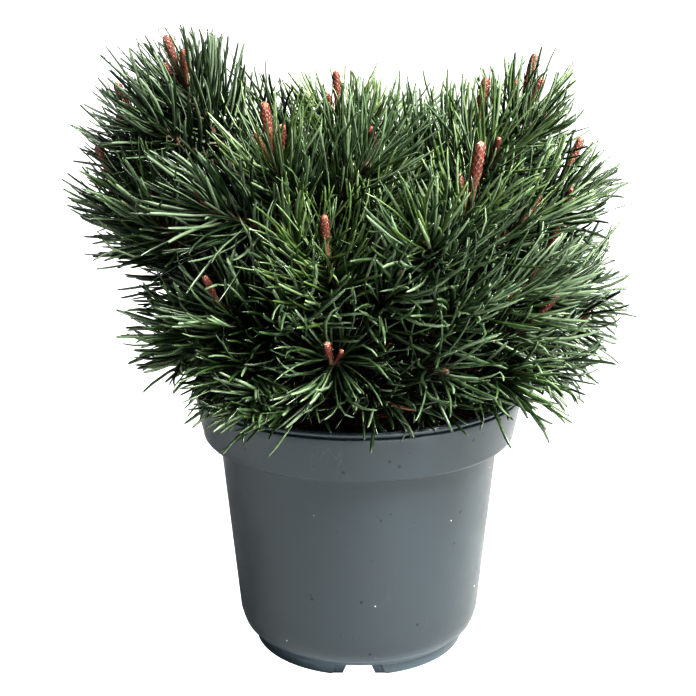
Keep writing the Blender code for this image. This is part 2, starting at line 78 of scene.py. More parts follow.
# Pot
POT_HEIGHT = 0.1575
RIM_RADIUS = 0.095
BEAD_HEIGHT = 0.003
BEAD_STANDS_OUT = 0.0008
COLLAR_HEIGHT = 0.030
COLLAR_FOOT = POT_HEIGHT - COLLAR_HEIGHT
COLLAR_FOOT_RADIUS = 0.0905
COLLAR_ROUND = 0.0025
BODY_TOP_RADIUS = 0.0812
BODY_FOOT_RADIUS = 0.0712
BODY_FOOT_Z = 0.0200
HEEL_RADIUS = 0.0665
HEEL_EDGE_RADIUS = 0.0684
HEEL_EDGE_Z = 0.0116
FOOT_RADIUS = 0.0620
FOOT_WIDTH = 0.0045
BASE_LIFT = 0.0050
WALL = 0.0016
LIP_ROUND = 0.0006
NECK_ROUND = 0.0008
EDGE_ROUND = 0.0005
FOOT_BEVEL = 0.0004
POT_STEPS = 160
# The groove under the bead: shares of how far the bead stands out, and of its height
GROOVE = ((0.9, 1.06), (1.9, 1.24), (0.55, 1.52), (0.45, 1.9))
# The hollow inside the rim: how far it lies inside the wall, and how far down in shares of the bead's height
LIP_HOLLOW = ((0.0, 1.5), (0.0004, 1.1), (0.0003, 0.3))
# How far the heel's curve bulges past its lower edge, out and up
HEEL_BULGE = (0.0013, 0.0022)
# The ledge over the foot ring: how far outside the ring, and how far below the heel's edge
LEDGE = ((0.0014, 0.0028), (0.0006, 0.0034), (0.0002, 0.0042))
NOTCH_COUNT = 4
# Two blocks cut each notch: inner and outer radius, width at foot and top, lowest and highest point
NOTCH_CUTS = {
    "opening": (FOOT_RADIUS - FOOT_WIDTH * 1.6, FOOT_RADIUS + 0.006, 0.0195, 0.0145, -0.001, 0.0048),
    "panel": (FOOT_RADIUS - 0.0032, FOOT_RADIUS + 0.008, 0.032, 0.0255, -0.002, 0.0073),
}
DRAIN_COUNT = 8
DRAIN_STEPS = 20
DRAIN_RADIUS = 0.0045
DRAIN_CIRCLE = 0.045

# Soil and litter
SOIL_TOP = 0.1420
SOIL_DISH = 0.0030
SOIL_STEPS = 120
SOIL_RINGS = 44
SOIL_LUMP = 0.0011
# Coarse and fine lumps: scale, place in the noise, and share
LUMP_SCALES = ((90.0, 0.3, 0.6), (260.0, 0.7, 0.4))
CHIP_COUNT = 2600
CHIP_SIZE = (0.0007, 0.0026)
CHIP_SHAPE = (1.0, 0.8, 0.5)
# How far a crumb at the edge may stand past the soil's edge
CHIP_ROOM = 0.0004
# Shares of dark, red and pale crumbs
CHIP_KINDS = (0.72, 0.24, 0.04)
LITTER_COUNT = 330
LITTER_LENGTH = (0.012, 0.034)
LITTER_SLIMMER = 0.55
LITTER_BEND = 0.16
LITTER_CURL = 0.2
# How high a fallen needle's two ends lie over the soil, and how near its edge they may come
LITTER_LIFT = (0.0004, 0.0016)
LITTER_TIP_LIFT = (0.0004, 0.0040)
LITTER_REACH = 0.985

# Trunk
TRUNK_FOOT = Vector((0.004, 0.002, SOIL_TOP + GAP))
TRUNK_TIP = Vector((-0.002, 0.006, 0.206))
TRUNK_FOOT_RADIUS = 0.0092
TRUNK_TIP_RADIUS = 0.0052
TRUNK_FLARE = 0.0050
TRUNK_FLARE_FADE = 7.0
TRUNK_POINTS = 7
TRUNK_LIFT = 0.4

# Boughs
BOUGH_FOOT_RADIUS = 0.0036
BRANCH_FOOT_RADIUS = 0.0031
BOUGH_TIP_RADIUS = 0.0027
BOUGH_POINTS = 5
BOUGH_REACH = 0.38
BARK_SIDES = 18
TRUNK_SIDES = 28
BARK_RING = 0.0016
BARK_RELIEF = 0.16
BARK_ACROSS = 420.0
BARK_ALONG = 150.0
# A bough is wider where it leaves what carries it
BOUGH_COLLAR = 0.45
BOUGH_COLLAR_FADE = 0.0035
# How far a limb starts inside what carries it, and how much wider it is there
TRUNK_SINKS = 0.004
TRUNK_SUNK_GIRTH = 1.15
BOUGH_SINKS = 0.0028
BOUGH_SUNK_GIRTH = 1.5
BOUGH_SLIMMER = 0.94

# Shoots that the solids have too
CROWN_HEART = Vector((0.0, 0.0, 0.165))
SHOOT_LENGTH = 0.072
SHOOT_BEND = 0.45
SIDE_LENGTH = 0.060
SIDE_LENGTH_SPREAD = (0.88, 1.12)
SIDE_START = (0.16, 0.32)
SIDE_SPREAD = math.radians(52.0)
SIDE_RISE = 0.30
SIDE_RISE_SPREAD = (0.6, 1.2)
SIDE_TRIES = 16
SHOOT_ROOM = 0.0195
OWN_ROOM = 0.0137
LIMB_ROOM = 0.0085
LIMB_TESTS = 25
SHOOT_TESTS = 9
SHOOT_TESTS_SKIPPED = 3
GOLDEN_ANGLE = math.radians(137.508)
SEED = 41

# Finer shoots
FINE_LENGTH = 0.040
FINE_LENGTH_SPREAD = (0.82, 1.15)
FINE_START = (0.04, 0.16)
SPUR_START = (0.30, 0.85)
FINE_SPREAD = math.radians(44.0)
FINE_TRIES = 7
FINE_ROOM = 0.0150
FINE_OWN_ROOM = 0.0115
FINE_INSET = -0.20
SPURS_PER_BOUGH = 2
LEAD_TWIG_RADIUS = 0.0026
TWIG_RADIUS = 0.0021
FINE_TWIG = 0.8
FINE_TWIG_TIP = 0.85
TWIG_TIP_RADIUS = 0.0015
TWIG_SIDES = 8
TWIG_RING = 0.0019
PEG_RELIEF = 0.22

# Needles
NEEDLE_LENGTH = 0.0480
NEEDLE_WIDTH = 0.00165
NEEDLE_DEPTH = 0.52
NEEDLE_STATIONS = (0.0, 0.10, 0.34, 0.60, 0.84, 0.965, 1.0)
NEEDLE_GIRTH = (0.72, 0.96, 1.0, 1.0, 0.94, 0.68)
NEEDLE_SECTION = ((1.0, 0.0), (-1.0, 0.0), (-0.52, -0.87), (0.52, -0.87))
NEEDLE_ROOM = 0.0012
PAIRS_ON_LEAD = 62
PAIRS_ON_SIDE = 46
PAIRS_ON_FINE = 34
PAIR_FIRST = 0.34
PAIR_LAST = 0.985
PAIR_LAST_AT_BUD = 0.87
LEAN_FOOT = math.radians(58.0)
LEAN_TIP = math.radians(25.0)
LEAN_AT_BUD = math.radians(47.0)
LEAN_SPREAD = math.radians(7.0)
# Pairs stand closer and lean less towards the tip
PAIR_CROWDING = 0.85
LEAN_CURVE = 1.4
LENGTH_SPREAD = (0.82, 1.10)
WIDTH_SPREAD = (0.86, 1.12)
SHORTER_AT_TIP = 0.10
BEND_SPREAD = 0.10
BOW_SPREAD = 0.16
NEEDLE_DROOP = 0.05
DROOP_SPREAD = (0.2, 1.8)
NEEDLE_BOW = 0.46
NEEDLE_CURL = 0.42
# Needles of low shoots are shorter, stouter and more curved than those of high ones
GIRTH_HEIGHTS = (0.21, 0.29)
STOUT = (1.18, 0.96)
SHORT = (0.96, 1.05)
CURLY = (1.5, 1.0)
NEEDLE_RISE = 0.34
RISE_HEIGHTS = (0.185, 0.25)
# How far the two needles of a pair part, and how much that, their plane and their lengths vary
PAIR_PART = 0.16
PAIR_PART_SPREAD = (0.3, 1.6)
PAIR_PLANE_SPREAD = 0.35
PAIR_LENGTH_SPREAD = (0.94, 1.06)
# Needles that would hang below the hem are raised
HEM_SIDES = (0.06, 0.10)
HEM_HEIGHTS = (0.174, 0.150)
HEM_SPREAD = 0.004
HEM_RADIUS = 0.084
# How far needles may pass the solids' box, and the shortest needle that is kept
BOX_ROOM = 0.0045
SHORTEST = 0.4

# How far the crown reaches from its middle as seen from the front, by the angle from the right going up
CROWN_MIDDLE = 0.240
CROWN_OUTLINE = (
    (-52, 0.162), (-44, 0.170), (-28, 0.161), (-12, 0.158), (0, 0.140), (14, 0.158), (28, 0.138),
    (44, 0.158), (52, 0.131), (60, 0.107), (76, 0.092), (92, 0.096), (116, 0.103), (124, 0.144),
    (140, 0.168), (156, 0.172), (166, 0.184), (180, 0.150), (192, 0.156), (206, 0.170),
    (220, 0.156), (236, 0.152),
)
OUTLINE_SLACK = 0.030
STRAY_SHARE = 0.12
STRAY_REACH = 0.12
VIEW_DISTANCE = 0.80
VIEW_HEIGHT = 0.403
# Shares of needles, by the place across the crown and by mass
THIN_SIDES = (-0.11, -0.045, 0.055, 0.11)
THIN_SHARES = (1.15, 1.0, 0.92, 0.62)
THIN_MASSES = {
    "leader": 0.65, "left_peak": 0.8, "left_shoulder": 0.85, "top_centre": 0.75, "right_inner": 0.7,
    "right_peak": 0.75, "right_shoulder": 0.75, "right_middle": 0.85, "right_low": 0.85, "right_far": 0.75,
    "front_right_hem": 0.3, "back_top": 0.6, "back_left_top": 0.7, "back_right": 0.75,
}

# A shoot's place in the row of greens: its value low in the crown and its rise with height, across the crown
# Darker places on the left, at the far right and low down are painted shade; paler places high on the right
# are partly painted light, partly young growth
TINT_SIDES = (-0.08, -0.03, 0.05, 0.10, 0.13)
TINT_STEPS = (0.2, 2.2, 2.6, 0.1, -1.3)
TINT_RISES = (-1.4, 2.0, 2.2, 2.5, 1.2)
TINT_FOOT = 0.18
TINT_HEIGHT = 0.16
TINT_SPREAD = 0.8
# Shoots behind and inside get darker greens: painted shade
BACK_PLACES = (0.0, 0.06)
BACK_PAINTED_SHADE = 1.1
INSIDE_PAINTED_SHADE = 2.0
# Low shoots stay blue-green
CAP_HEIGHTS = (0.235, 0.275)
CAPS = (2.9, 4.9)
# Sprays along a shoot: where each starts and ends, and its step in the row of greens
# The foot's darker spray is partly older needles and partly painted shade; the tip's paler spray is the young
# needles
SPRAYS = ((0.0, 0.42, -1.0), (0.42, 0.72, 0.0), (0.72, 9.0, 0.8))

# Keeps each piece under 200,000 triangles
NEEDLES_IN_PIECE = 4200
# Some of the old inner needles of low shoots are dry
STRAW_SHARE = 0.11
OLD_PART = 0.32
STRAW_HEIGHT = 0.21
SHEATH_LENGTH = 0.0042
SHEATH_RADIUS = 0.00085

# Buds
BUD_LENGTH = 0.0240
BUD_RADIUS = 0.0024
BUD_SPREAD = math.radians(30.0)
BUD_RISE = 0.40
LESSER_BUDS = (1.0, 0.58, 0.85)
SMALL_BUD = 0.55
SMALL_BUD_SHARE = 0.7
BUD_SIZES = {
    "leader": 1.5, "left_shoulder": 1.2, "left_far": 1.35, "left_low": 0.75, "front_hem": 0.8,
    "front_centre": 0.95, "front_left_top": 1.15, "top_centre": 0.9, "right_front": 1.38,
    "right_inner": 1.15, "right_peak": 1.25, "right_low": 1.1,
}
BUD_STATIONS = (0.0, 0.08, 0.30, 0.46, 0.80, 0.93, 0.98, 1.0)
BUD_GIRTHS = (0.50, 0.56, 0.66, 0.96, 1.0, 0.84, 0.54, 0.08)
BUD_RINGS = (0.0, 0.08, 0.2, 0.3, 0.38, 0.46, 0.6, 0.7, 0.8, 0.88, 0.93, 0.97, 1.0)
BUD_SIDES = 9
BUD_CORE_GIRTH = 0.94
BUD_SCALES = 96
SCALES_END = 0.95
SCALE_REACH = 0.085
SCALE_HALF = 0.40
# Finishes of a bud's core, head, tip, foot and pale fringes, and where foot and head end
BUD_FINISHES = ("bud_core", "bud_red", "bud_orange", "bud_foot", "bud_fringe")
CORE, HEAD, TIP, FOOT, FRINGE = range(5)
BUD_FOOT_END = 0.40
BUD_HEAD_END = 0.93

UP = Vector((0.0, 0.0, 1.0))

# One row for each mass: name, the tip of its lead shoot, how far that tip turns up, side shoots, the angle
# round the lead at which the first of them stands, buds on the lead, the limb that carries it, and how far
# along that limb its bough starts.
MASSES = (
    ("leader", (0.004, -0.034, 0.280), 0.45, 2, 0, 1, None, 1.0),
    ("left_peak", (-0.098, -0.006, 0.333), 0.05, 2, 60, 3, "trunk", 0.86),
    ("left_shoulder", (-0.125, 0.004, 0.303), 0.20, 1, 0, 2, "left_peak", 0.42),
    ("left_far", (-0.130, -0.014, 0.269), 0.15, 1, 60, 2, "trunk", 0.60),
    ("left_low", (-0.074, -0.070, 0.222), 0.20, 3, 90, 1, "trunk", 0.34),
    ("left_hem", (-0.088, -0.050, 0.200), -0.05, 2, 210, 0, "left_low", 0.40),
    ("front_hem", (-0.014, -0.108, 0.200), -0.04, 1, 0, 2, "trunk", 0.14),
    ("front_centre", (-0.016, -0.090, 0.252), 0.40, 2, 0, 1, "trunk", 0.54),
    ("front_left_top", (-0.045, -0.056, 0.299), 0.30, 2, 30, 3, "trunk", 0.76),
    ("top_centre", (-0.012, 0.030, 0.312), 0.30, 2, 0, 2, "trunk", 0.97),
    ("right_front", (0.058, -0.072, 0.276), 0.50, 2, 60, 2, "trunk", 0.66),
    ("right_rosette", (0.050, -0.096, 0.226), 0.10, 2, 120, 0, "right_front", 0.42),
    ("right_inner", (0.066, -0.004, 0.306), 0.35, 1, 240, 1, "trunk", 0.84),
    ("right_peak", (0.094, 0.022, 0.315), 0.30, 2, 240, 3, "right_inner", 0.40),
    ("right_shoulder", (0.118, 0.014, 0.275), 0.20, 2, 240, 1, "trunk", 0.58),
    ("right_middle", (0.099, -0.044, 0.236), 0.35, 1, 30, 1, "right_shoulder", 0.40),
    ("right_low", (0.092, -0.060, 0.206), 0.10, 1, 60, 1, "trunk", 0.44),
    ("right_far", (0.128, 0.026, 0.206), 0.00, 2, 330, 0, "trunk", 0.30),
    ("right_hem", (0.080, -0.078, 0.182), -0.08, 0, 0, 0, "trunk", 0.22),
    ("front_right_hem", (0.044, -0.106, 0.194), -0.06, 0, 0, 0, "trunk", 0.34),
    ("back_left_top", (-0.074, 0.056, 0.294), 0.25, 2, 120, 2, "trunk", 0.74),
    ("back_left", (-0.112, 0.062, 0.236), 0.05, 2, 270, 1, "trunk", 0.42),
    ("back_top", (0.020, 0.078, 0.282), 0.30, 2, 0, 2, "trunk", 0.80),
    ("back_right", (0.098, 0.074, 0.244), 0.10, 3, 30, 1, "trunk", 0.70),
    ("back_centre", (-0.010, 0.099, 0.234), 0.10, 3, 210, 1, "trunk", 0.50),
    ("back_left_hem", (-0.060, 0.094, 0.190), -0.03, 2, 60, 1, "trunk", 0.22),
    ("back_right_hem", (0.058, 0.098, 0.186), -0.03, 2, 60, 0, "trunk", 0.16),
)
MASS_NODES = ["needles_" + row[0] for row in MASSES]

# The photograph's own viewpoint, in front, looking down by 16 degrees
VIEW_PLACE = (0.0, -0.79969, 0.40340)
VIEW_FORWARD = Vector((-0.00732763, 0.96194403, -0.27314829))
VIEW_UP = Vector((0.00132811, 0.27316474, 0.96196635))
VIEW_LENS = 74.45

# Place, target, size, power and colour of each light: a key high on the right, a soft one low in front, a
# weak one on the left, one from above and one for the back
LIGHTS = {
    "key": ((0.90, -0.72, 1.55), (0.0, 0.0, 0.20), 0.70, 122.0, (1.0, 0.985, 0.95)),
    "front": ((1.00, -1.60, 0.20), (0.0, 0.0, 0.08), 0.9, 31.0, (0.98, 0.99, 1.0)),
    "fill": ((-1.2, -1.3, 0.9), (0.0, 0.0, 0.2), 1.2, 12.0, (0.93, 0.97, 1.0)),
    "top": ((-0.3, 0.5, 1.7), (0.0, 0.0, 0.2), 0.8, 11.0, (1.0, 1.0, 1.0)),
    "back": ((-0.05, 1.9, 0.60), (0.0, 0.0, 0.18), 1.1, 19.0, (0.97, 0.99, 1.0)),
}
WHITE = (1.0, 1.0, 1.0)
WORLD_COLOUR = (0.95, 0.98, 1.0)
WORLD_STRENGTH = 0.04

FLOOR_RADIUS = 3.0
FLOOR_STEPS = 96
FLOOR_DROP = 0.0002
# What the floor sends back to the part, what the camera sees of it, and where it fades to white
FLOOR_GIVES = (0.60, 0.60, 0.60)
FLOOR_SHOWS = (0.85, 0.85, 0.85)
FLOOR_FADE = (0.10, 0.30)
FLOOR_WHITE = (0.93, 1.0)

# Green tints from dark to pale, each with its second colour: the darker ones for old shoots and for painted
# shade, the paler ones for young shoots and for painted light
GREENS = {
    "deep": ((0.007, 0.017, 0.007), (0.016, 0.030, 0.011)),
    "middle": ((0.013, 0.028, 0.011), (0.038, 0.063, 0.021)),
    "grey": ((0.021, 0.041, 0.021), (0.072, 0.102, 0.054)),
    "fresh": ((0.030, 0.056, 0.019), (0.084, 0.119, 0.042)),
    "pale": ((0.044, 0.070, 0.028), (0.118, 0.150, 0.062)),
}
# The waxy flat side is paler and greyer than the round back
WAXY = 0.34
WAX_COLOUR = (0.24, 0.30, 0.21)
# Scale of the change, roughness, relief, its scale and stretch, and coat, on the back and on the flat side
NEEDLE_BACK = (150.0, (0.34, 0.46), 0.12, 1400.0, 0.4, 0.12)
NEEDLE_FLAT = (190.0, (0.40, 0.52), 0.15, 1700.0, 0.4, 0.0)

# Two colours, the scale of their change, roughness, strength of the relief and its scale
NATURAL = {
    "straw": ((0.15, 0.070, 0.036), (0.085, 0.038, 0.022), 300.0, (0.55, 0.70), 0.2, 1500.0),
    "sheath": ((0.075, 0.052, 0.034), (0.13, 0.105, 0.08), 400.0, (0.7, 0.85), 0.4, 2200.0),
    "twig": ((0.026, 0.015, 0.011), (0.105, 0.056, 0.034), 520.0, (0.75, 0.9), 0.6, 1500.0),
    "bark": ((0.060, 0.040, 0.029), (0.120, 0.086, 0.064), 240.0, (0.8, 0.95), 0.8, 900.0),
    "soil": ((0.020, 0.013, 0.010), (0.050, 0.031, 0.021), 330.0, (0.9, 1.0), 0.9, 1100.0),
    "chip_dark": ((0.040, 0.024, 0.017), (0.085, 0.050, 0.032), 500.0, (0.85, 1.0), 0.6, 1500.0),
    "chip_red": ((0.20, 0.078, 0.045), (0.11, 0.045, 0.030), 500.0, (0.8, 0.95), 0.6, 1500.0),
    "chip_pale": ((0.34, 0.29, 0.23), (0.22, 0.17, 0.12), 600.0, (0.85, 0.95), 0.5, 1500.0),
    "dead_needle": ((0.24, 0.100, 0.055), (0.13, 0.052, 0.032), 260.0, (0.6, 0.75), 0.3, 1500.0),
    "bud_red": ((0.150, 0.059, 0.045), (0.086, 0.034, 0.027), 700.0, (0.45, 0.6), 0.3, 2500.0),
    "bud_orange": ((0.24, 0.108, 0.066), (0.15, 0.064, 0.044), 700.0, (0.45, 0.6), 0.3, 2500.0),
    "bud_foot": ((0.24, 0.172, 0.105), (0.12, 0.078, 0.048), 700.0, (0.5, 0.65), 0.3, 2500.0),
    "bud_fringe": ((0.56, 0.46, 0.40), (0.34, 0.25, 0.205), 800.0, (0.5, 0.65), 0.2, 2500.0),
    "bud_core": ((0.22, 0.058, 0.040), (0.13, 0.040, 0.030), 700.0, (0.6, 0.7), 0.3, 2500.0),
}

PLASTIC = (0.0186, 0.0277, 0.0332)
PLASTIC_SECOND = (0.0203, 0.0264, 0.0307)
# The foot ring is painted paler and bluer, fading out above the heel's edge: painted light where the heel
# shades it
PAINTED_FOOT_LIGHT = (0.070, 0.098, 0.115)
PAINTED_FOOT_LIGHT_SHARE = 0.4
PAINTED_FOOT_LIGHT_HEIGHTS = (HEEL_EDGE_Z - 0.001, HEEL_EDGE_Z + 0.005)
SCUFF = (0.15, 0.165, 0.17)
SCUFF_SHARE = 0.08
# Specks on the pot: scale, size, share of cells that hold one, and colour
SPECKS = (
    (72.0, 0.08, 1.0, (0.004, 0.005, 0.005)),
    (300.0, 0.17, 0.07, (0.014, 0.015, 0.014)),
    (120.0, 0.08, 0.16, (0.62, 0.64, 0.64)),
)


# Camera, lights and floor


def placed(name, data):
    """A new object in the scene."""
    made = bpy.data.objects.new(name, data)
    bpy.context.scene.collection.objects.link(made)
    return made


def polar(radius, angle):
    return radius * math.cos(angle), radius * math.sin(angle)


def turns(steps):
    """Angles evenly spaced round a circle."""
    return np.arange(steps) * 2 * math.pi / steps


def make_camera():
    right = VIEW_FORWARD.cross(VIEW_UP).normalized()
    data = bpy.data.cameras.new("camera")
    data.lens = VIEW_LENS
    data.sensor_width = 36.0
    data.clip_start = 0.01
    camera = placed("camera", data)
    turn = Matrix((right, right.cross(VIEW_FORWARD), -VIEW_FORWARD)).transposed().to_4x4()
    camera.matrix_world = Matrix.Translation(VIEW_PLACE) @ turn
    bpy.context.scene.camera = camera


def make_lights():
    for name, (place, target, size, power, colour) in LIGHTS.items():
        data = bpy.data.lights.new(name, "AREA")
        data.shape = "DISK"
        data.size = size
        data.energy = power
        data.color = colour
        light = placed(name, data)
        light.location = place
        light.rotation_euler = (Vector(target) - Vector(place)).to_track_quat("-Z", "Y").to_euler()


def make_world():
    """White for the camera, and a weak even light from all round."""
    world = bpy.data.worlds.new("studio")
    world.use_nodes = True
    tree = world.node_tree
    tree.nodes.clear()
    soft = add(tree, "ShaderNodeBackground", {"Color": WORLD_COLOUR, "Strength": WORLD_STRENGTH})
    white = add(tree, "ShaderNodeBackground", {"Color": WHITE, "Strength": 1.0})
    add(tree, "ShaderNodeOutputWorld", {"Surface": blended(tree, seen_by_camera(tree), soft, white)})
    bpy.context.scene.world = world
    bpy.context.scene.view_settings.view_transform = "Standard"
    bpy.context.scene.view_settings.look = "Very High Contrast"


def make_floor():
    """A pale floor that fades into the white backdrop, with a soft shadow round the pot."""
    points = [(0.0, 0.0, 0.0)] + [(*polar(FLOOR_RADIUS, a), 0.0) for a in turns(FLOOR_STEPS)]
    corners = [(0, 1 + i, 1 + (i + 1) % FLOOR_STEPS) for i in range(FLOOR_STEPS)]
    finish, tree, shader, out = new_material("pale_floor")
    tree.nodes.remove(shader)
    seen = seen_by_camera(tree)
    far = add(tree, "ShaderNodeVectorMath", {0: object_place(tree)}, operation="LENGTH")
    fade = ranged(tree, far.outputs["Value"], *FLOOR_FADE, *FLOOR_WHITE)
    dull = add(tree, "ShaderNodeBsdfDiffuse", {"Color": mixed(tree, seen, FLOOR_GIVES, FLOOR_SHOWS)})
    glow = add(tree, "ShaderNodeEmission", {"Color": WHITE, "Strength": 1.0})
    put(tree, out.inputs["Surface"], blended(tree, maths(tree, "MULTIPLY", fade, seen), dull, glow))
    floor = new_piece("floor", points, corners, [finish])
    floor.location.z = -FLOOR_DROP


# Nodes


def put(tree, socket, value):
    """Links a socket to another, or sets it to a plain value."""
    if isinstance(value, bpy.types.NodeSocket):
        tree.links.new(value, socket)
    elif isinstance(value, tuple) and socket.type == "RGBA":
        socket.default_value = (*value, 1.0)
    else:
        socket.default_value = value


def add(tree, kind, sets, **properties):
    made = tree.nodes.new(kind)
    for key, value in properties.items():
        setattr(made, key, value)
    for key, value in sets.items():
        put(tree, made.inputs[key], value)
    return made


def object_place(tree):
    """The place on the object, in metres."""
    return add(tree, "ShaderNodeTexCoord", {}).outputs["Object"]


def seen_by_camera(tree):
    return add(tree, "ShaderNodeLightPath", {}).outputs["Is Camera Ray"]


def maths(tree, operation, *values):
    return add(tree, "ShaderNodeMath", dict(enumerate(values)), operation=operation).outputs[0]


def ranged(tree, value, low, high, first=0.0, last=1.0):
    """Goes from first to last while the value goes from low to high."""
    sets = {"Value": value, "From Min": low, "From Max": high, "To Min": first, "To Max": last}
    return add(tree, "ShaderNodeMapRange", sets).outputs[0]


def clouds(tree, place, scale, detail, roughness=0.5):
    sets = {"Vector": place, "Scale": scale, "Detail": detail, "Roughness": roughness}
    return add(tree, "ShaderNodeTexNoise", sets).outputs[0]


def mixed(tree, share, first, second):
    """A colour between two others."""
    return add(tree, "ShaderNodeMix", {0: share, 6: first, 7: second}, data_type="RGBA").outputs[2]


def blended(tree, share, first, second):
    """A shader between two others."""
    sets = {0: share, 1: first.outputs[0], 2: second.outputs[0]}
    return add(tree, "ShaderNodeMixShader", sets).outputs[0]


def new_group(name, inputs, outputs):
    """A shader node group with named inputs and outputs. Returns its tree, its inputs and its output node."""
    tree = bpy.data.node_groups.new(name, "ShaderNodeTree")
    for label, value in inputs.items():
        kind = "NodeSocketColor" if isinstance(value, tuple) else "NodeSocketFloat"
        socket = tree.interface.new_socket(label, in_out="INPUT", socket_type=kind)
        socket.default_value = (*value, 1.0) if isinstance(value, tuple) else value
    for label, kind in outputs.items():
        tree.interface.new_socket(label, in_out="OUTPUT", socket_type=kind)
    return tree, tree.nodes.new("NodeGroupInput").outputs, tree.nodes.new("NodeGroupOutput")


def make_mottle():
    """Cloudy change between two colours."""
    inputs = {"Colour": (0.5, 0.5, 0.5), "Second": (0.4, 0.4, 0.4), "Scale": 20.0, "Spread": 0.14}
    tree, given, out = new_group("mottle", inputs, {"Colour": "NodeSocketColor", "Mask": "NodeSocketFloat"})
    cloud = clouds(tree, object_place(tree), given["Scale"], 5.0, 0.62)
    low = maths(tree, "SUBTRACT", 0.5, given["Spread"])
    mask = ranged(tree, cloud, low, maths(tree, "ADD", 0.5, given["Spread"]))
    put(tree, out.inputs["Colour"], mixed(tree, mask, given["Colour"], given["Second"]))
    put(tree, out.inputs["Mask"], mask)
    return tree


def make_specks():
    """Sparse round specks of dirt or grit."""
    inputs = {"Scale": 200.0, "Size": 0.2, "Share": 0.1}
    tree, given, out = new_group("specks", inputs, {"Mask": "NodeSocketFloat"})
    cells = add(tree, "ShaderNodeTexVoronoi", {"Vector": object_place(tree), "Scale": given["Scale"]})
    edge = maths(tree, "MULTIPLY", given["Size"], 0.8)
    dot = ranged(tree, cells.outputs["Distance"], edge, given["Size"], 1.0, 0.0)
    lot = add(tree, "ShaderNodeSeparateColor", {0: cells.outputs["Color"]})
    few = maths(tree, "LESS_THAN", lot.outputs[0], given["Share"])
    put(tree, out.inputs["Mask"], maths(tree, "MULTIPLY", dot, few))
    return tree


def make_scuffs():
    """Faint long marks left by handling, in patches."""
    inputs = {"Scale": 75.0, "Width": 0.007, "Patches": 0.55}
    tree, given, out = new_group("scuffs", inputs, {"Mask": "NodeSocketFloat"})
    place = object_place(tree)
    sets = {"Vector": place, "Rotation": (0.35, 0.2, 0.5), "Scale": (1.0, 1.0, 0.14)}
    drawn = add(tree, "ShaderNodeMapping", sets).outputs[0]
    off = maths(tree, "ABSOLUTE", maths(tree, "SUBTRACT", clouds(tree, drawn, given["Scale"], 2.0), 0.5))
    thin = ranged(tree, off, 0.0, given["Width"], 1.0, 0.0)
    worn = ranged(tree, clouds(tree, place, 14.0, 3.0), given["Patches"], 0.68)
    put(tree, out.inputs["Mask"], maths(tree, "MULTIPLY", thin, worn))
    return tree


def make_grain():
    """The height of a fine, even roughness."""
    inputs = {"Scale": 900.0, "Stretch": 1.0}
    tree, given, out = new_group("grain", inputs, {"Height": "NodeSocketFloat"})
    shape = add(tree, "ShaderNodeCombineXYZ", {0: 1.0, 1: 1.0, 2: given["Stretch"]}).outputs[0]
    drawn = add(tree, "ShaderNodeVectorMath", {0: object_place(tree), 1: shape}, operation="MULTIPLY")
    put(tree, out.inputs["Height"], clouds(tree, drawn.outputs[0], given["Scale"], 4.0))
    return tree


GROUPS = {"mottle": make_mottle(), "specks": make_specks(), "scuffs": make_scuffs(), "grain": make_grain()}


def effect(tree, name, **values):
    """Places a shared group. An input is named in lower case."""
    made = tree.nodes.new("ShaderNodeGroup")
    made.node_tree = GROUPS[name]
    for key, value in values.items():
        put(tree, made.inputs[key.capitalize()], value)
    return made.outputs


def new_material(name):
    finish = bpy.data.materials.new(name)
    finish.use_nodes = True
    tree = finish.node_tree
    return finish, tree, tree.nodes["Principled BSDF"], tree.nodes["Material Output"]


def cover(tree, shader, colour, mask, roughness, grain, strength, depth):
    """Sets a surface's colour, a roughness that follows the mask, and a fine relief."""
    bumps = add(tree, "ShaderNodeBump", {"Strength": strength, "Distance": depth, "Height": grain["Height"]})
    put(tree, shader.inputs["Base Color"], colour)
    put(tree, shader.inputs["Roughness"], ranged(tree, mask, 0.0, 1.0, *roughness))
    put(tree, shader.inputs["Normal"], bumps.outputs[0])


def finished(name, colour, second, scale, roughness, bump, grain_scale, stretch=1.0, coat=0.0):
    """A natural surface: two colours, a roughness that follows them, and a fine relief."""
    finish, tree, shader, _ = new_material(name)
    patches = effect(tree, "mottle", colour=colour, second=second, scale=scale)
    grain = effect(tree, "grain", scale=grain_scale, stretch=stretch)
    cover(tree, shader, patches["Colour"], patches["Mask"], roughness, grain, bump, 0.0004)
    shader.inputs["Coat Weight"].default_value = coat
    shader.inputs["Coat Roughness"].default_value = 0.2
    return finish


def pot_finish():
    """Matt moulded plastic with the foot ring painted paler as painted light where the heel shades it, faint
    scuffs, dirt specks and grit.
    """
    finish, tree, shader, _ = new_material("pot_plastic")
    base = effect(tree, "mottle", colour=PLASTIC, second=PLASTIC_SECOND, scale=22.0, spread=0.2)
    height = add(tree, "ShaderNodeSeparateXYZ", {0: object_place(tree)})
    # Painted light: the foot ring is paler below the heel's edge
    foot_lit = ranged(tree, height.outputs["Z"], *PAINTED_FOOT_LIGHT_HEIGHTS, PAINTED_FOOT_LIGHT_SHARE, 0.0)
    colour = mixed(tree, foot_lit, base["Colour"], PAINTED_FOOT_LIGHT)
    scuffed = maths(tree, "MULTIPLY", effect(tree, "scuffs")["Mask"], SCUFF_SHARE)
    colour = mixed(tree, scuffed, colour, SCUFF)
    for scale, size, share, tint in SPECKS:
        speck = effect(tree, "specks", scale=scale, size=size, share=share)
        colour = mixed(tree, speck["Mask"], colour, tint)
    grain = effect(tree, "grain", scale=1500.0)
    cover(tree, shader, colour, base["Mask"], (0.40, 0.50), grain, 0.10, 0.0002)
    return finish


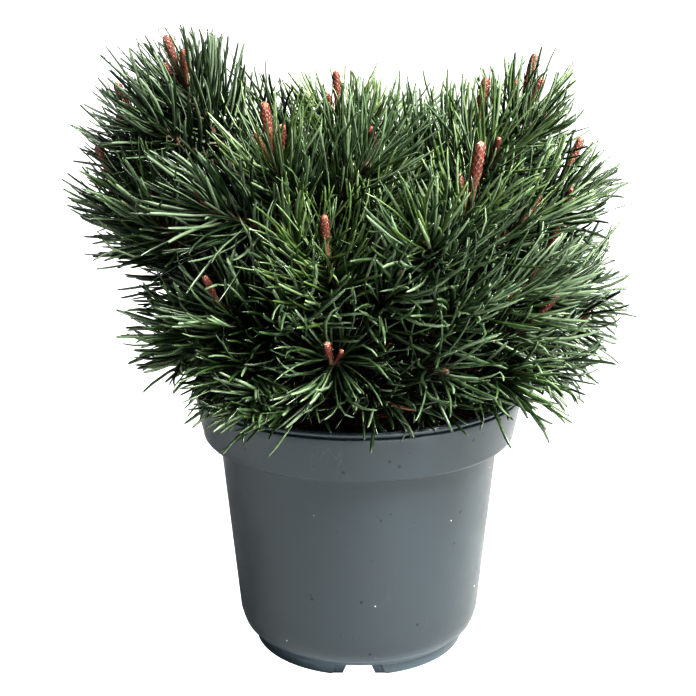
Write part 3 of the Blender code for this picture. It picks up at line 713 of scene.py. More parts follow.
def make_finishes():
    made = {"pot": pot_finish()}
    for name, tints in GREENS.items():
        waxed = [tuple(a + (b - a) * WAXY for a, b in zip(tint, WAX_COLOUR)) for tint in tints]
        made[name] = finished("needle_" + name, *tints, *NEEDLE_BACK)
        made[name + "_flat"] = finished("needle_flat_" + name, *waxed, *NEEDLE_FLAT)
    for name, values in NATURAL.items():
        made[name] = finished(name, *values)
    return made


# Meshes from arrays


def new_piece(name, points, corners, finishes, marks=None, smooth=True):
    """An object from points, triangles and a finish number for each triangle."""
    mesh = bpy.data.meshes.new(name)
    mesh.vertices.add(len(points))
    mesh.vertices.foreach_set("co", np.asarray(points, np.float32).ravel())
    mesh.loops.add(len(corners) * 3)
    mesh.loops.foreach_set("vertex_index", np.asarray(corners, np.int32).ravel())
    mesh.polygons.add(len(corners))
    mesh.polygons.foreach_set("loop_start", np.arange(len(corners), dtype=np.int32) * 3)
    for finish in finishes:
        mesh.materials.append(finish)
    if marks is not None:
        mesh.polygons.foreach_set("material_index", np.asarray(marks, np.int32))
    mesh.update(calc_edges=True)
    mesh.validate()
    if smooth:
        mesh.shade_smooth()
    return placed(name, mesh)


class Heap:
    """Shapes gathered into one joined piece."""

    def __init__(self):
        self.points = []
        self.corners = []
        self.marks = []
        self.count = 0

    def add(self, points, corners, marks=0):
        self.points.append(points)
        self.corners.append(corners + self.count)
        self.marks.append(np.broadcast_to(marks, len(corners)))
        self.count += len(points)

    def piece(self, name, finishes, slot, nodes, smooth=True):
        points, corners, marks = (np.concatenate(parts) for parts in (self.points, self.corners, self.marks))
        settle(new_piece(name, points, corners, finishes, marks, smooth), nodes)


def settle(piece, nodes):
    """Every piece rides on the one body, and stands for the solids that it covers."""
    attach(piece, "root")
    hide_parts(*nodes)


def unit(vectors):
    return vectors / np.maximum(np.linalg.norm(vectors, axis=-1, keepdims=True), 1e-12)


def swung(first, second, angles):
    """Directions turned by these angles from the first towards the second, which is square to it."""
    return first * np.cos(angles) + second * np.sin(angles)


def lattice(rings, around):
    """Triangles of a tube of rings, each joined to the next, going round."""
    ring = np.repeat(np.arange(rings - 1), around)
    step = np.tile(np.arange(around), rings - 1)
    a = ring * around + step
    b = ring * around + (step + 1) % around
    first = np.stack([a, b, b + around], axis=1)
    second = np.stack([a, b + around, a + around], axis=1)
    return np.concatenate([first, second])


def closed_lattice(rings, around):
    """Triangles of a tube with closed ends. Its last two points are the middles of its foot and tip."""
    step = np.arange(around)
    after = (step + 1) % around
    last = (rings - 1) * around
    middle = np.full(around, rings * around)
    foot = np.stack([middle, after, step], axis=1)
    tip = np.stack([middle + 1, last + step, last + after], axis=1)
    return np.concatenate([lattice(rings, around), foot, tip])


def smooth_line(path, spacing):
    """A smooth curve through a path's points, with a point about every spacing."""
    points = np.array(path, float)
    points = np.concatenate([[2 * points[0] - points[1]], points, [2 * points[-1] - points[-2]]])
    made = []
    for i in range(1, len(points) - 2):
        before, a, b, after = points[i - 1:i + 3]
        count = max(2, int(round(np.linalg.norm(b - a) / spacing)))
        for t in np.linspace(0.0, 1.0, count, endpoint=False):
            made.append(0.5 * (
                2 * a + (b - before) * t
                + (2 * before - 5 * a + 4 * b - after) * t**2
                + (3 * a - before - 3 * b + after) * t**3
            ))
    made.append(points[-2])
    return np.array(made)


def sides_along(line):
    """At each point of a line, two sides square to it that turn as little as possible."""
    along = unit(np.gradient(line, axis=0))
    side = np.cross(along[0], (0.0, 0.0, 1.0) if abs(along[0][2]) < 0.9 else (1.0, 0.0, 0.0))
    sides = []
    for way in along:
        side = unit(side - way * side.dot(way))
        sides.append(side)
    return np.array(sides), np.cross(along, sides)


def tube(line, radii, around, relief=None):
    """Points and triangles of a closed tube. The relief gives each point's share to add to the radius."""
    right, up = sides_along(line)
    angles = turns(around)
    out = swung(right[:, None], up[:, None], angles[None, :, None])
    wide = np.repeat(np.asarray(radii)[:, None], around, axis=1)
    if relief is not None:
        wide = wide * (1.0 + relief(line, out, wide, angles))
    points = (line[:, None] + out * wide[..., None]).reshape(-1, 3)
    return np.concatenate([points, line[:1], line[-1:]]), closed_lattice(len(line), around)


# The rule that the limbs and shoots grow by


def bezier(points, share):
    """The point at this share of a Bezier curve."""
    while len(points) > 1:
        points = [a.lerp(b, share) for a, b in zip(points, points[1:])]
    return points[0]


def sampled(points, count):
    return [bezier(points, i / (count - 1)) for i in range(count)]


def square_foot(points, count):
    """A sampled curve whose first stretch leaves exactly along the curve, so that its foot is cut square."""
    path = sampled(points, count)
    path[1] = path[0] + (points[1] - points[0]).normalized() * (path[1] - path[0]).length
    return path


def trunk_line():
    """The trunk's path and radii. It leaves the soil upright, and its foot flares."""
    lift = Vector((0.0, 0.0, TRUNK_LIFT * (TRUNK_TIP.z - TRUNK_FOOT.z)))
    path = sampled([TRUNK_FOOT, TRUNK_FOOT + lift, TRUNK_TIP - lift / 2, TRUNK_TIP], TRUNK_POINTS)
    radii = []
    for i in range(TRUNK_POINTS):
        share = i / (TRUNK_POINTS - 1)
        taper = TRUNK_FOOT_RADIUS + (TRUNK_TIP_RADIUS - TRUNK_FOOT_RADIUS) * share
        radii.append(taper + TRUNK_FLARE * math.exp(-TRUNK_FLARE_FADE * share))
    path[1].xy = path[0].xy
    return path, radii


def at_share(path, radii, share):
    """The place, the direction and the radius at this share of a limb."""
    place = share * (len(path) - 1)
    i = min(int(place), len(path) - 2)
    part = place - i
    radius = radii[i] + (radii[i + 1] - radii[i]) * part
    return path[i].lerp(path[i + 1], part), (path[i + 1] - path[i]).normalized(), radius


def lead_curve(tip, upturn):
    """The lead shoot's three control points, from its foot to its tip."""
    outward = (tip - CROWN_HEART).normalized()
    end = outward.lerp(UP, upturn).normalized()
    bend = tip - end * SHOOT_LENGTH * (1.0 - SHOOT_BEND)
    foot = bend - outward * SHOOT_LENGTH * SHOOT_BEND
    return [foot, bend, tip]


def bough_line(lead, carrier, share):
    """A bough that leaves its carrier squarely and ends short of the lead shoot's foot."""
    place, along, thick = at_share(*carrier, share)
    length = sum((b - a).length for a, b in zip(carrier[0], carrier[0][1:]))
    thick = at_share(*carrier, max(0.0, share - BOUGH_FOOT_RADIUS / length))[2]
    target = lead[0] - (lead[1] - lead[0]).normalized() * GAP
    away = target - place
    away = (away - along * away.dot(along)).normalized()
    start = place + away * (thick + GAP)
    reach = (target - start).length * BOUGH_REACH
    turn = [start, start + away * reach, target - (lead[1] - lead[0]).normalized() * reach, target]
    path = square_foot(turn, BOUGH_POINTS)
    path[-2] = target + (turn[2] - target).normalized() * (path[-2] - target).length
    foot_radius = min(BOUGH_FOOT_RADIUS if thick > BOUGH_FOOT_RADIUS else BRANCH_FOOT_RADIUS, thick)
    steps = len(path) - 1
    return path, [foot_radius + (BOUGH_TIP_RADIUS - foot_radius) * i / steps for i in range(steps + 1)]


def grow_limbs():
    """Every limb's path and radii, and every lead shoot's control points, by name."""
    limbs = {"trunk": trunk_line()}
    leads = {}
    for name, tip, upturn, _, _, _, carrier, share in MASSES:
        lead = lead_curve(Vector(tip), upturn)
        if carrier:
            limbs[name] = bough_line(lead, limbs[carrier], share)
        else:
            onward = (TRUNK_TIP - limbs["trunk"][0][-2]).normalized()
            lead[0] = TRUNK_TIP + onward * GAP
            lead[1] = lead[0] + onward * SHOOT_LENGTH * SHOOT_BEND
        leads[name] = lead
    return limbs, leads


def clear_of_pot(point, room):
    """Whether a point keeps this far from the pot and the soil."""
    radius = math.hypot(point.x, point.y)
    if point.z > POT_HEIGHT + room or radius > RIM_RADIUS + BEAD_STANDS_OUT + room:
        return True
    return radius < COLLAR_FOOT_RADIUS - WALL - room and point.z > SOIL_TOP + room


def nearest(point, cloud):
    """The distance from a point to the nearest point of a cloud."""
    return float(np.sqrt(((cloud - np.array(point)) ** 2).sum(axis=1).min()))


def cloud_of(shoots):
    """Points along several shoots."""
    return np.concatenate([np.array(sampled(shoot, SHOOT_TESTS)) for shoot in shoots])


def limb_points(limbs):
    """Points along every limb."""
    shares = [i / (LIMB_TESTS - 1) for i in range(LIMB_TESTS)]
    return np.array([at_share(*limb, share)[0] for limb in limbs.values() for share in shares])


def side_shoot(parent, forward, around, spread, length, share, rise):
    """A side shoot's three control points. It leaves its parent at an angle and turns up."""
    start = bezier(parent, share)
    leave = (forward * math.cos(spread) + around * math.sin(spread)).normalized()
    bend = start + leave * length / 2
    tip = bend + leave.lerp(UP, rise).normalized() * length / 2
    return [start, bend, tip]


def is_free(shoot, others, boughs, kin, room, own_room):
    """Whether a shoot keeps away from other masses, limbs, its own mass and the pot."""
    return all(
        nearest(point, others) > room
        and nearest(point, boughs) > LIMB_ROOM
        and (kin is None or nearest(point, kin) > own_room)
        and clear_of_pot(point, LIMB_ROOM)
        for point in sampled(shoot, SHOOT_TESTS)[SHOOT_TESTS_SKIPPED:]
    )


def grow_shoots(limbs, leads):
    """The shoots of each mass. A side shoot that comes too near another mass or a limb is skipped."""
    shoots = {name: [lead] for name, lead in leads.items()}
    boughs = limb_points(limbs)
    for row, (name, _, _, sides, turn, _, _, _) in enumerate(MASSES):
        rng = random.Random(SEED + row)
        others = cloud_of([shoot for other in shoots if other != name for shoot in shoots[other]])
        lead = leads[name]
        forward = (lead[2] - lead[0]).normalized()
        across = forward.orthogonal().normalized()
        for attempt in range(SIDE_TRIES):
            if len(shoots[name]) > sides:
                break
            around = Matrix.Rotation(math.radians(turn) + GOLDEN_ANGLE * attempt, 3, forward) @ across
            share = rng.uniform(*SIDE_START)
            length = SIDE_LENGTH * rng.uniform(*SIDE_LENGTH_SPREAD)
            rise = SIDE_RISE * rng.uniform(*SIDE_RISE_SPREAD)
            shoot = side_shoot(lead, forward, around, SIDE_SPREAD, length, share, rise)
            kin = cloud_of(shoots[name][1:]) if len(shoots[name]) > 1 else None
            if is_free(shoot, others, boughs, kin, SHOOT_ROOM, OWN_ROOM):
                shoots[name].append(shoot)
    return shoots, boughs


def grow_finer(limbs, shoots, boughs):
    """Finer shoots by the same rule: one from each lead shoot, and spurs from each bough."""
    fine = {name: [] for name in shoots}
    for row, (name, *_) in enumerate(MASSES):
        rng = random.Random(SEED * 7 + row)
        apart = [shoot for other in shoots if other != name for shoot in shoots[other] + fine[other]]
        others = cloud_of(apart)
        parents = [(shoots[name][0], *FINE_START, 1)]
        if name in limbs:
            path = limbs[name][0]
            parents.append(([path[1], path[2], path[-1]], *SPUR_START, SPURS_PER_BOUGH))
        for parent, low, high, wanted in parents:
            forward = (parent[2] - parent[0]).normalized()
            across = forward.orthogonal().normalized()
            first = rng.uniform(0.0, 2 * math.pi)
            found = 0
            for attempt in range(FINE_TRIES * wanted):
                if found == wanted:
                    break
                around = Matrix.Rotation(first + GOLDEN_ANGLE * attempt, 3, forward) @ across
                length = FINE_LENGTH * rng.uniform(*FINE_LENGTH_SPREAD)
                rise = SIDE_RISE * rng.uniform(*SIDE_RISE_SPREAD)
                start = rng.uniform(low, high)
                shoot = side_shoot(parent, forward, around, FINE_SPREAD, length, start, rise)
                kin = [grown for grown in shoots[name] + fine[name] if grown is not parent]
                kin = cloud_of(kin) if kin else None
                inside = beyond_outline(np.array([shoot[2]]))[0] < FINE_INSET
                if inside and is_free(shoot, others, boughs, kin, FINE_ROOM, FINE_OWN_ROOM):
                    fine[name].append(shoot)
                    found += 1
    return fine


# Pot


def arc(centre, radius, start, end, steps):
    """Points of an arc in the (radius, height) plane, angles in degrees."""
    points = (polar(radius, angle) for angle in np.radians(np.linspace(start, end, steps + 1)))
    return [(centre[0] + out, centre[1] + up) for out, up in points]


def stretch(start, end, steps):
    """Points evenly spaced along a straight stretch, from just after its start to its end."""
    start = Vector(start)
    way = Vector(end) - start
    return [tuple(start + way * (i / steps)) for i in range(1, steps + 1)]


def pot_outside():
    """(radius, height) down the outside of the pot, from the rim to the foot."""
    side = arc((RIM_RADIUS - LIP_ROUND, POT_HEIGHT - LIP_ROUND), LIP_ROUND, 90, 20, 4)
    side += arc((RIM_RADIUS - EDGE_ROUND, POT_HEIGHT - BEAD_HEIGHT / 2), BEAD_HEIGHT * 0.43, 42, -62, 7)
    side += [(RIM_RADIUS - BEAD_STANDS_OUT * into, POT_HEIGHT - BEAD_HEIGHT * down) for into, down in GROOVE]
    side += stretch(side[-1], (COLLAR_FOOT_RADIUS, COLLAR_FOOT + COLLAR_ROUND), 8)[:-1]
    side += arc((COLLAR_FOOT_RADIUS - COLLAR_ROUND, COLLAR_FOOT + COLLAR_ROUND), COLLAR_ROUND, 0, -90, 7)
    side += arc((BODY_TOP_RADIUS + NECK_ROUND, COLLAR_FOOT - NECK_ROUND), NECK_ROUND, 90, 180, 3)
    side += stretch((BODY_TOP_RADIUS, COLLAR_FOOT - NECK_ROUND), (BODY_FOOT_RADIUS, BODY_FOOT_Z), 14)
    edge = Vector((HEEL_EDGE_RADIUS, HEEL_EDGE_Z))
    heel = [Vector((BODY_FOOT_RADIUS, BODY_FOOT_Z)), edge + Vector(HEEL_BULGE), edge]
    side += [tuple(point) for point in sampled(heel, 8)[1:]]
    side.append((HEEL_EDGE_RADIUS - EDGE_ROUND * 1.2, HEEL_EDGE_Z - EDGE_ROUND))
    side += [(FOOT_RADIUS + out, HEEL_EDGE_Z - down) for out, down in LEDGE]
    side.append((FOOT_RADIUS, FOOT_BEVEL * 2))
    side += arc((FOOT_RADIUS - EDGE_ROUND, EDGE_ROUND), EDGE_ROUND, 0, -90, 3)
    return side


def pot_inside():
    """(radius, height) up the inside of the pot, from the base to the rim."""
    side = [
        (HEEL_RADIUS - WALL * 2, BASE_LIFT + WALL),
        (BODY_FOOT_RADIUS - WALL, BODY_FOOT_Z),
        (BODY_TOP_RADIUS - WALL, COLLAR_FOOT + WALL / 2),
        (COLLAR_FOOT_RADIUS - WALL, COLLAR_FOOT + WALL),
    ]
    side += [(RIM_RADIUS - WALL - into, POT_HEIGHT - BEAD_HEIGHT * down) for into, down in LIP_HOLLOW]
    side += arc((RIM_RADIUS - WALL + 0.0002, POT_HEIGHT - EDGE_ROUND), EDGE_ROUND, 170, 90, 3)
    return side


def pot_under():
    """(radius, height) under the pot, from the foot ring to the middle of the base."""
    ring = FOOT_RADIUS - FOOT_WIDTH
    return [(ring + FOOT_BEVEL, 0.0), (ring, FOOT_BEVEL), (ring, BASE_LIFT), (0.0, BASE_LIFT)]


def prism(name, lower, upper, collection):
    """A closed block between two rings of points."""
    count = len(lower)
    faces = [tuple(range(count))[::-1], tuple(range(count, 2 * count))]
    faces += [(i, (i + 1) % count, count + (i + 1) % count, count + i) for i in range(count)]
    mesh = bpy.data.meshes.new(name)
    mesh.from_pydata(lower + upper, [], faces)
    collection.objects.link(bpy.data.objects.new(name, mesh))


def notch_ends(angle, inner, outer, foot_width, top_width, low, high):
    """Lower and upper corners of a block that cuts through the foot ring, narrower at its top."""
    turn = Matrix.Rotation(angle, 4, "Z")
    sides = ((inner, -0.5), (outer, -0.5), (outer, 0.5), (inner, 0.5))
    return [
        [turn @ Vector((radius, side * width, height)) for radius, side in sides]
        for width, height in ((foot_width, low), (top_width, high))
    ]


def make_pot(finishes):
    """The pot's outline turned round, with the notches and the drain holes cut out."""
    profile = [(0.0, BASE_LIFT + WALL)] + pot_inside() + pot_outside() + pot_under()
    mesh = bpy.data.meshes.new("pot_profile")
    mesh.from_pydata([(r, 0.0, z) for r, z in profile], [(i, i + 1) for i in range(len(profile) - 1)], [])
    turned = placed("pot_profile", mesh)
    screw = turned.modifiers.new("turn", "SCREW")
    screw.steps = POT_STEPS
    screw.render_steps = POT_STEPS
    screw.use_merge_vertices = True
    screw.merge_threshold = 0.00001
    cutters = bpy.data.collections.new("pot_cutters")
    bpy.context.scene.collection.children.link(cutters)
    for i in range(NOTCH_COUNT):
        angle = 2 * math.pi * i / NOTCH_COUNT - math.pi / 2
        for part, sizes in NOTCH_CUTS.items():
            prism(f"notch_{part}_{i}", *notch_ends(angle, *sizes), cutters)
    for i in range(DRAIN_COUNT):
        angle = 2 * math.pi * (i + 0.5) / DRAIN_COUNT
        middle = Vector((*polar(DRAIN_CIRCLE, angle), 0.0))
        ring = [middle + Vector((*polar(DRAIN_RADIUS, a), 0.0)) for a in turns(DRAIN_STEPS)]
        heights = (BASE_LIFT - WALL, BASE_LIFT + WALL * 2)
        prism(f"drain_{i}", *([point + UP * height for point in ring] for height in heights), cutters)
    cut = turned.modifiers.new("cut", "BOOLEAN")
    cut.operation = "DIFFERENCE"
    cut.operand_type = "COLLECTION"
    cut.collection = cutters
    bpy.context.view_layer.update()
    made = bpy.data.meshes.new_from_object(turned.evaluated_get(bpy.context.evaluated_depsgraph_get()))
    made.name = "nursery_pot"
    made.materials.clear()
    made.materials.append(finishes["pot"])
    made.shade_smooth()
    made.set_sharp_from_angle(angle=math.radians(38.0))
    for extra in list(cutters.objects) + [turned]:
        bpy.data.objects.remove(extra)
    bpy.data.collections.remove(cutters)
    settle(placed("nursery_pot", made), ["pot"])


# Soil and litter


def soil_radius(height):
    """The pot's inner radius at this height, less the clearance."""
    inside = pot_inside()[:5]
    return float(np.interp(height, [z for _, z in inside], [radius for radius, _ in inside])) - GAP


def soil_height(x, y):
    """The dished, lumpy top of the soil."""
    dish = SOIL_DISH * math.sin(min(1.0, math.hypot(x, y) / soil_radius(SOIL_TOP)) * math.pi / 2) ** 2
    lumps = sum(noise.noise(Vector((x, y, place)) * scale) * share for scale, place, share in LUMP_SCALES)
    return SOIL_TOP - dish + SOIL_LUMP * lumps


def make_soil(finishes):
    rng = np.random.default_rng(SEED)
    edge = soil_radius(SOIL_TOP) - 0.0002
    base = BASE_LIFT + WALL + GAP
    angles = turns(SOIL_STEPS)
    points = []
    for ring in range(1, SOIL_RINGS + 1):
        for a in angles:
            x, y = polar(edge * ring / SOIL_RINGS, a)
            points.append((x, y, soil_height(x, y)))
    below = [
        (soil_radius(COLLAR_FOOT + WALL) - GAP, COLLAR_FOOT + WALL + GAP),
        (BODY_TOP_RADIUS - WALL - GAP * 2, COLLAR_FOOT + WALL / 2 + GAP * 2),
        (soil_radius(BODY_FOOT_Z) - GAP, BODY_FOOT_Z),
        (soil_radius(base) - GAP, base),
    ]
    points += [(*polar(radius, a), z) for radius, z in below for a in angles]
    points += [(0.0, 0.0, soil_height(0.0, 0.0)), (0.0, 0.0, base)]
    corners = closed_lattice(SOIL_RINGS + len(below), SOIL_STEPS)[:, ::-1]
    settle(new_piece("potting_soil", points, corners, [finishes["soil"]]), ["soil"])
    scatter_chips(rng, edge, finishes)
    scatter_litter(rng, edge, finishes)


def scatter_chips(rng, edge, finishes):
    """Crumbs of peat and bark on the soil, most of them dark."""
    heap = Heap()
    base = np.array([(1, 0, 0), (0, 1, 0), (-1, 0, 0), (0, -1, 0), (0, 0, 1), (0, 0, -1)], float)
    sides = np.array([
        (0, 1, 4), (1, 2, 4), (2, 3, 4), (3, 0, 4), (1, 0, 5), (2, 1, 5), (3, 2, 5), (0, 3, 5),
    ])
    for _ in range(CHIP_COUNT):
        radius = edge * math.sqrt(rng.uniform(0.02, 0.985))
        angle = rng.uniform(0, 2 * math.pi)
        x, y = polar(radius, angle)
        size = rng.uniform(*CHIP_SIZE) * rng.uniform(0.5, 1.0)
        size = min(size, edge - radius + CHIP_ROOM)
        shape = base * (size * rng.uniform(0.6, 1.4, 3) * CHIP_SHAPE)
        shape = shape * rng.uniform(0.75, 1.15, (6, 1))
        turn = np.array(Matrix.Rotation(rng.uniform(0, 6.28), 3, Vector(rng.normal(size=3))))
        kind = int(rng.choice(3, p=CHIP_KINDS))
        heap.add(shape @ turn.T + (x, y, soil_height(x, y) + size * 0.15), sides, kind)
    finish = [finishes["chip_dark"], finishes["chip_red"], finishes["chip_pale"]]
    heap.piece("soil_crumbs", finish, "potting_soil", ["soil"], smooth=False)


def scatter_litter(rng, edge, finishes):
    """Dead needles that lie on the soil."""
    feet, ways, lengths = [], [], []
    while len(feet) < LITTER_COUNT:
        radius = edge * math.sqrt(rng.uniform(0.05, 0.96))
        angle = rng.uniform(0, 2 * math.pi)
        heading = rng.uniform(0, 2 * math.pi)
        length = rng.uniform(*LITTER_LENGTH)
        foot = np.array(polar(radius, angle))
        way = np.array(polar(1.0, heading))
        end = foot + way * length
        if np.hypot(*end) > edge * LITTER_REACH:
            continue
        low = soil_height(*foot) + rng.uniform(*LITTER_LIFT)
        high = soil_height(*end) + rng.uniform(*LITTER_TIP_LIFT)
        feet.append((*foot, low))
        ways.append((*way, (high - low) / length))
        lengths.append(length)
    feet, ways, lengths = np.array(feet), unit(np.array(ways)), np.array(lengths)
    bends = rng.normal(0.0, LITTER_BEND, (len(feet), 3))
    flats = unit(rng.normal(size=(len(feet), 3)) * (0.4, 0.4, 1.0))
    curls = rng.normal(0.0, LITTER_CURL, (len(feet), 3)) * (1.0, 1.0, 0.2)
    widths = np.full(len(feet), NEEDLE_WIDTH * LITTER_SLIMMER)
    heap = Heap()
    heap.add(*needle_shapes(feet, ways, bends, curls, flats, lengths, widths))
    heap.piece("fallen_needles", [finishes["dead_needle"]] * 2, "potting_soil", ["soil"])


# Bark and twigs


def bark_relief(line, out, wide, angles):
    """Flakes and cracks that run along the limb."""
    made = np.zeros(wide.shape)
    length = 0.0
    for i in range(len(line)):
        if i:
            length += float(np.linalg.norm(line[i] - line[i - 1]))
        for j in range(len(angles)):
            normal = Vector(out[i, j])
            spot = normal * wide[i, j] * BARK_ACROSS + UP * length * BARK_ALONG
            flake = noise.noise(spot)
            crack = 1.0 - abs(noise.noise(spot * 1.9 + Vector((7.0, 3.0, 1.0)))) * 2.0
            made[i, j] = BARK_RELIEF * (0.75 * flake - 0.55 * max(0.0, crack - 0.45))
    made[0] *= 0.3
    made[-1] *= 0.3
    return made


def make_limbs(limbs, finishes):
    """The trunk and the boughs, rooted in what carries them, with bark in relief."""
    for name, (path, radii) in limbs.items():
        line = smooth_line(path, BARK_RING)
        stations = np.linspace(0.0, 1.0, len(line))
        wide = np.interp(stations, np.linspace(0.0, 1.0, len(radii)), radii)
        if name == "trunk":
            node = "trunk"
            line = np.concatenate([[line[0] - (0.0, 0.0, TRUNK_SINKS)], line])
            wide = np.concatenate([[wide[0] * TRUNK_SUNK_GIRTH], wide])
            sides = TRUNK_SIDES
        else:
            node = "bough_" + name
            back = (path[0] - path[1]).normalized()
            line = np.concatenate([[np.array(path[0] + back * BOUGH_SINKS)], line])
            collar = 1.0 + BOUGH_COLLAR * np.exp(-np.arange(len(wide)) * BARK_RING / BOUGH_COLLAR_FADE)
            wide = np.concatenate([[wide[0] * BOUGH_SUNK_GIRTH], wide * collar * BOUGH_SLIMMER])
            sides = BARK_SIDES
        heap = Heap()
        heap.add(*tube(line, wide, sides, bark_relief))
        heap.piece("bark_" + name, [finishes["bark"]], "bark", [node])


def peg_relief(line, out, wide, angles):
    """Small pegs in two crossing spirals, where the leaf scales sit."""
    ring = np.arange(len(line))[:, None]
    turn = angles[None, :]
    return PEG_RELIEF * np.cos(3 * turn + ring * 2.1) * np.cos(2 * turn - ring * 1.3)


def add_twig(heap, shoot, foot_radius, tip_radius):
    length = sum((b - a).length for a, b in zip(shoot, shoot[1:]))
    count = max(8, int(length / TWIG_RING))
    line = np.array(sampled(shoot, count))
    heap.add(*tube(line, np.linspace(foot_radius, tip_radius, count), TWIG_SIDES, peg_relief))


# Needles


def needle_shapes(feet, ways, bends, curls, flats, lengths, widths):
    """Curved needles with one flat side."""
    count = len(feet)
    centres = [feet]
    for a, b in zip(NEEDLE_STATIONS, NEEDLE_STATIONS[1:]):
        middle = (a + b) / 2
        way = unit(ways + bends * middle + curls * middle**2)
        centres.append(centres[-1] + way * (lengths * (b - a))[:, None])
    sides = unit(np.cross(ways, flats))
    faces = unit(np.cross(sides, ways))
    rings = []
    for centre, girth in zip(centres, NEEDLE_GIRTH):
        half = (widths * girth / 2)[:, None]
        rings += [centre + sides * half * x - faces * half * y * NEEDLE_DEPTH * 2 for x, y in NEEDLE_SECTION]
    points = np.stack(rings + [centres[-1]], axis=1)
    around = len(NEEDLE_SECTION)
    skin = lattice(len(NEEDLE_GIRTH), around)
    end = len(NEEDLE_GIRTH) * around
    tip = np.array([(end - around + i, end - around + (i + 1) % around, end) for i in range(around)])
    foot = np.array([(0, 2, 1), (0, 3, 2)])
    shape = np.concatenate([foot, skin, tip])
    flat = (shape % around <= 1).all(axis=1) & (shape < end).all(axis=1)
    corners = shape[None] + (np.arange(count) * (end + 1))[:, None, None]
    return points.reshape(-1, 3), corners.reshape(-1, 3), np.tile(flat.astype(int), count)


def along_shoot(shoot, shares):
    """Places and directions at many shares of a shoot."""
    a, b, c = (np.array(point) for point in shoot)
    t = shares[:, None]
    places = a * (1 - t) ** 2 + b * 2 * t * (1 - t) + c * t**2
    return places, unit((b - a) * (1 - t) + (c - b) * t)


def pairs_on(shoot, count, rng, budded):
    """The needle pairs of a shoot: feet, directions, the shoot's own direction, their sides and lengths."""
    order = np.arange(count)
    along = ((order + rng.uniform(0.2, 0.8, count)) / count) ** PAIR_CROWDING
    last = PAIR_LAST_AT_BUD if budded else PAIR_LAST
    shares = PAIR_FIRST + (last - PAIR_FIRST) * along
    feet, ahead = along_shoot(shoot, shares)
    across = unit(np.cross(ahead, rng.normal(size=3)))
    beside = np.cross(ahead, across)
    turn = order * GOLDEN_ANGLE + rng.uniform(0, 2 * math.pi) + rng.normal(0.0, 0.2, count)
    around = swung(across, beside, turn[:, None])
    tip_lean = LEAN_AT_BUD if budded else LEAN_TIP
    lean = LEAN_FOOT + (tip_lean - LEAN_FOOT) * along**LEAN_CURVE + rng.normal(0.0, LEAN_SPREAD, count)
    ways = swung(ahead, around, lean[:, None])
    long = NEEDLE_LENGTH * rng.uniform(*LENGTH_SPREAD, count) * (1.0 - SHORTER_AT_TIP * along**3)
    return feet + around * TWIG_TIP_RADIUS * 0.8, unit(ways), ahead, around, long


def tips_of(feet, ways, bends, lengths):
    """About where needles end."""
    return feet + unit(ways + bends * 0.5) * lengths[:, None]


def grow_needles(rng, shoot, count, budded):
    """Columns of needle values for one shoot, and the feet and directions of the sheaths."""
    feet, ways, ahead, around, long = pairs_on(shoot, count, rng, budded)
    stout, short, curly = (np.interp(shoot[2].z, GIRTH_HEIGHTS, ends) for ends in (STOUT, SHORT, CURLY))
    long = long * short
    bow = rng.normal(NEEDLE_BOW, BOW_SPREAD, count)[:, None]
    bends = ahead * bow - around * bow * 0.3 + rng.normal(0.0, BEND_SPREAD, (count, 3))
    bends[:, 2] -= NEEDLE_DROOP * rng.uniform(*DROOP_SPREAD, count)
    bends[:, 2] += NEEDLE_RISE * np.interp(feet[:, 2], RISE_HEIGHTS, (0.0, 1.0))
    curls = rng.normal(0.0, NEEDLE_CURL, (count, 3)) * curly
    tips = tips_of(feet, ways, bends, long)
    hem = np.interp(feet[:, 0], HEM_SIDES, HEM_HEIGHTS)
    low = (hem + rng.normal(0.0, HEM_SPREAD, count) - tips[:, 2]) / long
    hang = (np.hypot(tips[:, 0], tips[:, 1]) > HEM_RADIUS) & (low > 0)
    ways[hang, 2] += low[hang]
    ways = unit(ways)
    across = unit(np.cross(ways, ahead) + rng.normal(0.0, PAIR_PLANE_SPREAD, (count, 3)))
    needles = []
    for side in (-1.0, 1.0):
        part = (PAIR_PART * rng.uniform(*PAIR_PART_SPREAD, count) * side)[:, None]
        way = unit(ways + across * part)
        size = long * rng.uniform(*PAIR_LENGTH_SPREAD, count)
        width = NEEDLE_WIDTH * stout * rng.uniform(*WIDTH_SPREAD, count)
        foot = feet + ways * SHEATH_LENGTH * 0.5 + across * side * NEEDLE_WIDTH * 0.18
        needles.append((foot, way, bends + across * part * 0.8, curls, across * -side, size, width))
    return [np.concatenate(column) for column in zip(*needles)], (feet, ways)


def beyond_outline(spots):
    """How far points stand beyond the crown's outline as seen from the front, as a share of its reach."""
    nearer = VIEW_DISTANCE / (spots[:, 1] + VIEW_DISTANCE)
    across = spots[:, 0] * nearer
    above = VIEW_HEIGHT + (spots[:, 2] - VIEW_HEIGHT) * nearer - CROWN_MIDDLE
    angles, reaches = zip(*CROWN_OUTLINE)
    limit = np.interp(np.degrees(np.arctan2(above, across)), angles, reaches, period=360)
    return np.hypot(across, above) / limit - 1.0


